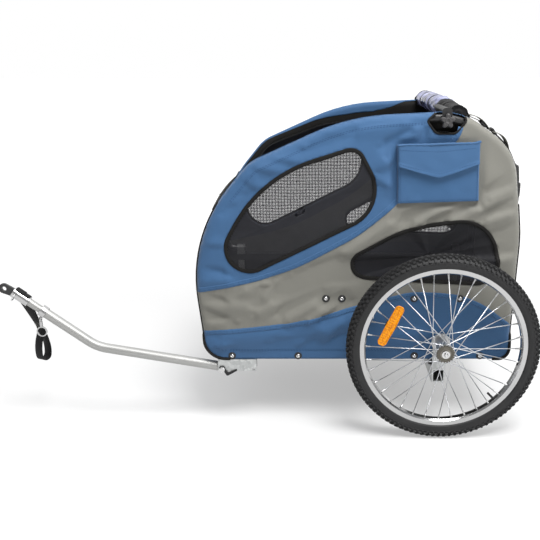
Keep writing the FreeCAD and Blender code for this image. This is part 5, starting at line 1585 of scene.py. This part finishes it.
safetyStrap = {
    "turn": math.radians(66), "width": 0.025, "thick": 0.0018, "sleeveAt": 0.231, "sleeveRadius": 0.0137,
    "bend": (-0.4521, -0.25, 0.211), "rise": math.radians(36.9), "fan": 0.008, "lap": 0.0013,
    # from the sleeve's middle to the sewn foot, and where it lies round the sleeve in degrees from the front
    "foot": (0.0300, 0.0270, -0.0990), "wrap": (52, 80, 110, 140, 170, 200),
    # height of each layer on the sleeve, and shares of the way down to the foot
    "layers": {-1: 0.0012, 1: 0.0030}, "down": (0.3, 0.65, 1), "step": 0.004,
    "twistFrom": 0.012, "twistOver": 0.07,
    # loop below the foot, across and down, millimetres
    "loop": [(-12, -33), (-16, -58), (-13, -80), (0, -87), (13, -80), (16, -58), (12, -33)],
    # sewn box with its cross: corners up and across, and the lines of stitches between them
    "box": [(0.022, -0.009), (0.022, 0.009), (0.003, 0.009), (0.003, -0.009)],
    "boxLines": [(0, 1, 2, 3, 0, 2), (1, 3)], "boxOut": 0.0026, "stitchPitch": 0.0034, "stitchLong": 0.0026,
}
# section of a band in shares of its width and thickness
bandSection = (
    (-0.5, 0.2), (-0.46, 0.5), (0.46, 0.5), (0.5, 0.2), (0.5, -0.2), (0.46, -0.5), (-0.46, -0.5), (-0.5, -0.2),
)


def ribbonFaces(heap, path, sideWay, width, thick):
    # flat band on a path; its thickness stands at right angles to path and width
    path = [Vector(p) for p in path]
    count, sides = len(path), len(bandSection)
    sideWays = sideWay if isinstance(sideWay, list) else [sideWay] * count
    points, flat, run = [], [], 0
    for i, (spot, way, across) in enumerate(zip(path, headings(path), sideWays)):
        across = (across - way * across.dot(way)).normalized()
        out = way.cross(across)
        run += (spot - path[i - 1]).length if i else 0
        for a, b in bandSection:
            points.append(spot + across * (a * width) + out * (b * thick))
            flat.append((run, a * width))
    heap.put(points, flipped(gridFaces(count, sides, False, True) + endCaps(count, sides)), flat)


def makeStrap():
    rise, turn = safetyStrap["rise"], safetyStrap["turn"]
    along = Vector((-math.cos(rise), 0, math.sin(rise)))
    up = crossways.cross(along)
    middle = Vector(safetyStrap["bend"]) + along * safetyStrap["sleeveAt"]
    foot = middle + Vector(safetyStrap["foot"])
    level = Vector((math.cos(turn), math.sin(turn), 0))
    wide = Vector((-level.y, level.x, 0))

    def layer(end):
        # one thickness of the strap, from the top of the sleeve to the foot
        lie = safetyStrap["sleeveRadius"] + safetyStrap["layers"][end]
        spots = []
        for angle in map(math.radians, safetyStrap["wrap"]):
            around = up * (lie * math.sin(angle)) - crossways * (lie * math.cos(angle))
            spots.append(middle + along * (end * safetyStrap["fan"]) + around)
        last = foot + level * (end * safetyStrap["lap"])
        return spots + [spots[-1].lerp(last, share) for share in safetyStrap["down"]]

    loop = [foot + level * (a / 1000) + Vector((0, 0, z / 1000)) for a, z in safetyStrap["loop"]]
    line = [Vector(p) for p in smoothLine(layer(-1) + loop + layer(1)[::-1], safetyStrap["step"])]
    below = [(middle.z - p.z - safetyStrap["twistFrom"]) / safetyStrap["twistOver"] for p in line]
    turned = [along.lerp(wide, min(max(share, 0), 1)) for share in below]
    heap = Heap()
    ribbonFaces(heap, line, turned, safetyStrap["width"], safetyStrap["thick"])
    rising = (middle - foot).normalized()
    across = (wide - rising * wide.dot(rising)).normalized()
    out = rising.cross(across)
    for face in (-1, 1):
        base = foot + out * (face * safetyStrap["boxOut"])
        box = [base + rising * r + across * w for r, w in safetyStrap["box"]]
        for row in safetyStrap["boxLines"]:
            spots = evenSpots([box[k] for k in row], safetyStrap["stitchPitch"])
            sew(heap, spots, out * face, safetyStrap["stitchLong"], 1)
    piece = heap.piece("safety_webbing", ["webbing", "greyThread"])
    standIn(piece, "tow_arm", "safety_strap")


makeStrap()
print("strap looped")

# Fittings on the cloth across the cabin: zips down the middle, door top edge, rear tabs, straps and buckles

zipper = {
    "wide": 0.024, "thick": 0.0012, "lift": 0.0008, "pitch": 0.0044, "apart": 0.0011, "sink": 0.0012,
    "tooth": (0.0012, 0.0012, 0.0014), "belowTop": 0.004, "rearTop": 0.785, "pullerAt": 2,
    # puller: down, out, half sizes and narrower top
    "puller": [(0.004, 0.004, (0.007, 0.0045, 0.0022), 0.8), (0.021, 0.005, (0.013, 0.004, 0.0011), 0.85)],
}
doorEdge = {
    "radius": 0.0042, "sides": 10, "steps": 20, "from": 0.0004, "short": 0.002,
    "seamReach": 0.014, "seamLift": 0.0005, "seamWide": 0.010, "seamThick": 0.0012,
}
rearStrap = {
    "at": 0.218, "wide": 0.025, "thick": 0.0016, "step": 0.004, "span": (0.585, 0.803),
    # level and how far the strap stands off the cloth, millimetres
    "stand": [
        (800, 3), (786, 7), (776, 3), (768, 9), (758, 3), (700, 2.5), (684, 5), (664, 8), (650, 3), (628, 9),
        (606, 5), (588, 2.5),
    ],
    # level and half length
    "buckles": [(0.668, 0.021), (0.624, 0.017)], "sliders": [(0.790, 0), (0.772, 0)],
    # blocks: along, across and out from the strap, half sizes, top; a pair is a length and a share of the
    # half length above
    "buckle": [
        ((0, 0), 0, 0.0030, (0, 1), 0.0150, 0.0042, 0.86), ((0, 0), 0, 0.0068, (0, 0.55), 0.0090, 0.0016, 0.8),
        ((0, -0.92), 0, 0.0030, (0.0028, 0), 0.0172, 0.0034, 0.8),
        ((0, 0.1), -0.0150, 0.0030, (0, 0.4), 0.0024, 0.0032, 0.8),
        ((0, 0.92), 0, 0.0030, (0.0028, 0), 0.0172, 0.0034, 0.8),
        ((0, 0.1), 0.0150, 0.0030, (0, 0.4), 0.0024, 0.0032, 0.8),
    ],
    "slider": [
        *[((along, 0), 0, 0.0018, (0.0018, 0), 0.0165, 0.0022, 0.8) for along in (-0.0075, 0, 0.0075)],
        *[((0, 0), across, 0.0018, (0.0092, 0), 0.0018, 0.0022, 0.8) for across in (-0.0158, 0.0158)],
    ],
    # high and low end of each tab
    "tabs": [(0.797, 0.781), (0.757, 0.737)], "tabLap": 0.012, "tabStep": 0.003,
    "tabLift": 0.0022, "tabArch": 0.0085, "tabWide": 0.040,
}


def overCloth(line, y, lift):
    # places outside the cloth across the cabin, at one y
    away = np.zeros(len(line)) + lift + bulgeAt(y)
    return [Vector((x, y, z)) for x, z in line + normalsOf(line) * away[:, None]]


def makeZip(end, high):
    # black tape over the joint of two halves, with teeth and a puller
    spots = overCloth(pathBetween(wallLines[end], acrossCloth["seam"], high), 0, zipper["lift"])
    heap = Heap()
    ribbonFaces(heap, spots, crossways, zipper["wide"], zipper["thick"])
    finer = evenSpots(spots, zipper["pitch"])
    for a, b in zip(finer, finer[1:]):
        out = (b - a).normalized().cross(crossways)
        for shift in (-zipper["apart"], zipper["apart"]):
            tooth = a - out * zipper["sink"] + crossways * shift
            heap.put(*blockAt(tooth, b - a, crossways, zipper["tooth"]), owner=1)
    puller = (finer if spots[0].z > spots[-1].z else finer[::-1])[zipper["pullerAt"]]
    for down, out, half, top in zipper["puller"]:
        place = puller + Vector((math.copysign(out, puller.x), 0, -down))
        heap.put(*blockAt(place, Vector((0, 0, -1)), crossways, half, top), owner=1)
    foldWith(heap.piece(end + "_zip", ["black", "plastic"], False), "left")


def makeDoorEdge(side):
    # rolled black binding along the door's top, and the seam tape lower down
    far = sideCloth["hoopY"] - doorEdge["short"]
    ys = np.linspace(doorEdge["from"], far, doorEdge["steps"]) * sideSign[side]
    top = pathBetween(wallLines["front"], acrossCloth["seam"], acrossCloth["tops"]["front"])[-2:]
    edge, seam = Heap(), Heap()
    edge.put(*tubeAlong([overCloth(top, y, 0)[-1] for y in ys], doorEdge["radius"], doorEdge["sides"]))
    foldWith(edge.piece(side + "_door_edge", "black"), side)
    level, reach = acrossCloth["grey"]["front"][1], doorEdge["seamReach"]
    near = pathBetween(wallLines["front"], level - reach, level + reach)
    spots = [overCloth(near, y, doorEdge["seamLift"])[len(near) // 2] for y in ys]
    ribbonFaces(seam, spots, Vector((0, 0, 1)), doorEdge["seamWide"], doorEdge["seamThick"])
    foldWith(seam.piece(side + "_front_seam", "blue"), side)


def rearPart(low, high, step):
    return evenly([p for p in wallLines["rear"] if low < p[1] < high], step, False)


def makeRearFittings(side):
    y = sideSign[side] * rearStrap["at"]
    straps, tabs = Heap(), Heap()
    band = rearPart(*rearStrap["span"], rearStrap["step"])
    hung = overCloth(band, y, fromTable(rearStrap["stand"], band[:, 1]))
    ribbonFaces(straps, hung, crossways, rearStrap["wide"], rearStrap["thick"])
    for places, blocks in (("buckles", "buckle"), ("sliders", "slider")):
        for level, long in rearStrap[places]:
            at = min(range(1, len(hung) - 1), key=lambda i: abs(hung[i].z - level))
            way = (hung[at + 1] - hung[at - 1]).normalized()
            outward = crossways.cross(way)
            for (along, share), across, out, (half, halfShare), wide, high, top in rearStrap[blocks]:
                place = hung[at] + way * (along + share * long) + crossways * across + outward * out
                size = (half + halfShare * long, wide, high)
                straps.put(*blockAt(place, way, crossways, size, top), owner=1)
    foldWith(straps.piece(side + "_rear_buckle", ["webbing", "plastic"], False), side)
    for high, low in rearStrap["tabs"]:
        part = rearPart(low - rearStrap["tabLap"], high + rearStrap["tabLap"], rearStrap["tabStep"])
        arch = rearStrap["tabArch"] * np.sin(np.linspace(0, math.pi, len(part)))
        hoop = overCloth(part, y, rearStrap["tabLift"] + arch)
        ribbonFaces(tabs, hoop, crossways, rearStrap["tabWide"], rearStrap["thick"])
    foldWith(tabs.piece(side + "_rear_tabs", "grey"), side)


makeZip("front", acrossCloth["tops"]["front"] - zipper["belowTop"])
makeZip("rear", zipper["rearTop"])
onBothSides(makeDoorEdge)
onBothSides(makeRearFittings)
print("zips, tabs and buckles fitted")

# Plain finishes for what keeps its CAD shape

dressed = {
    "frame": ["floor_frame", "upper_rails", "left_hoop", "right_hoop", "axle_spacers"],
    # lighter paint on the posts and hinge blocks: painted highlight
    "highlitFrame": ["frame_posts", "hinge_blocks"],
    "board": ["floor_board"], "plastic": ["roof_bar"],
    "zinc": ["axle_beam", "axle_plates", "tow_bracket"],
    "alloy": ["left_hub", "right_hub", "coupler_sleeve", "arm_collar"],
    "bearing": ["left_bearings", "right_bearings"],
    "screw": ["stub_axles", "left_axle_button", "right_axle_button", "tow_pin", "hitch_pin", "hitch_clip"],
    "softRubber": ["tow_pin_clip", "left_valve", "right_valve"],
    "tube": ["tow_arm", "coupler_tube"], "forged": ["hitch_eye"],
    "chrome": ["left_rim", "right_rim", "snap_hook"],
}
for look, names in dressed.items():
    for name in names:
        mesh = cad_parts[name].data
        if not mesh.materials:
            mesh.materials.append(finishes[look])
        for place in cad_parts[name].material_slots:
            place.material = finishes[look]

bpy.context.view_layer.update()
floorHalf = studio["floor"] / 2
floorCorners = [(a * floorHalf, b * floorHalf, -studio["floorDrop"]) for a, b in square]
stageFloor = makePiece("stage_floor", floorCorners, [(0, 1, 2, 3)], "floor")
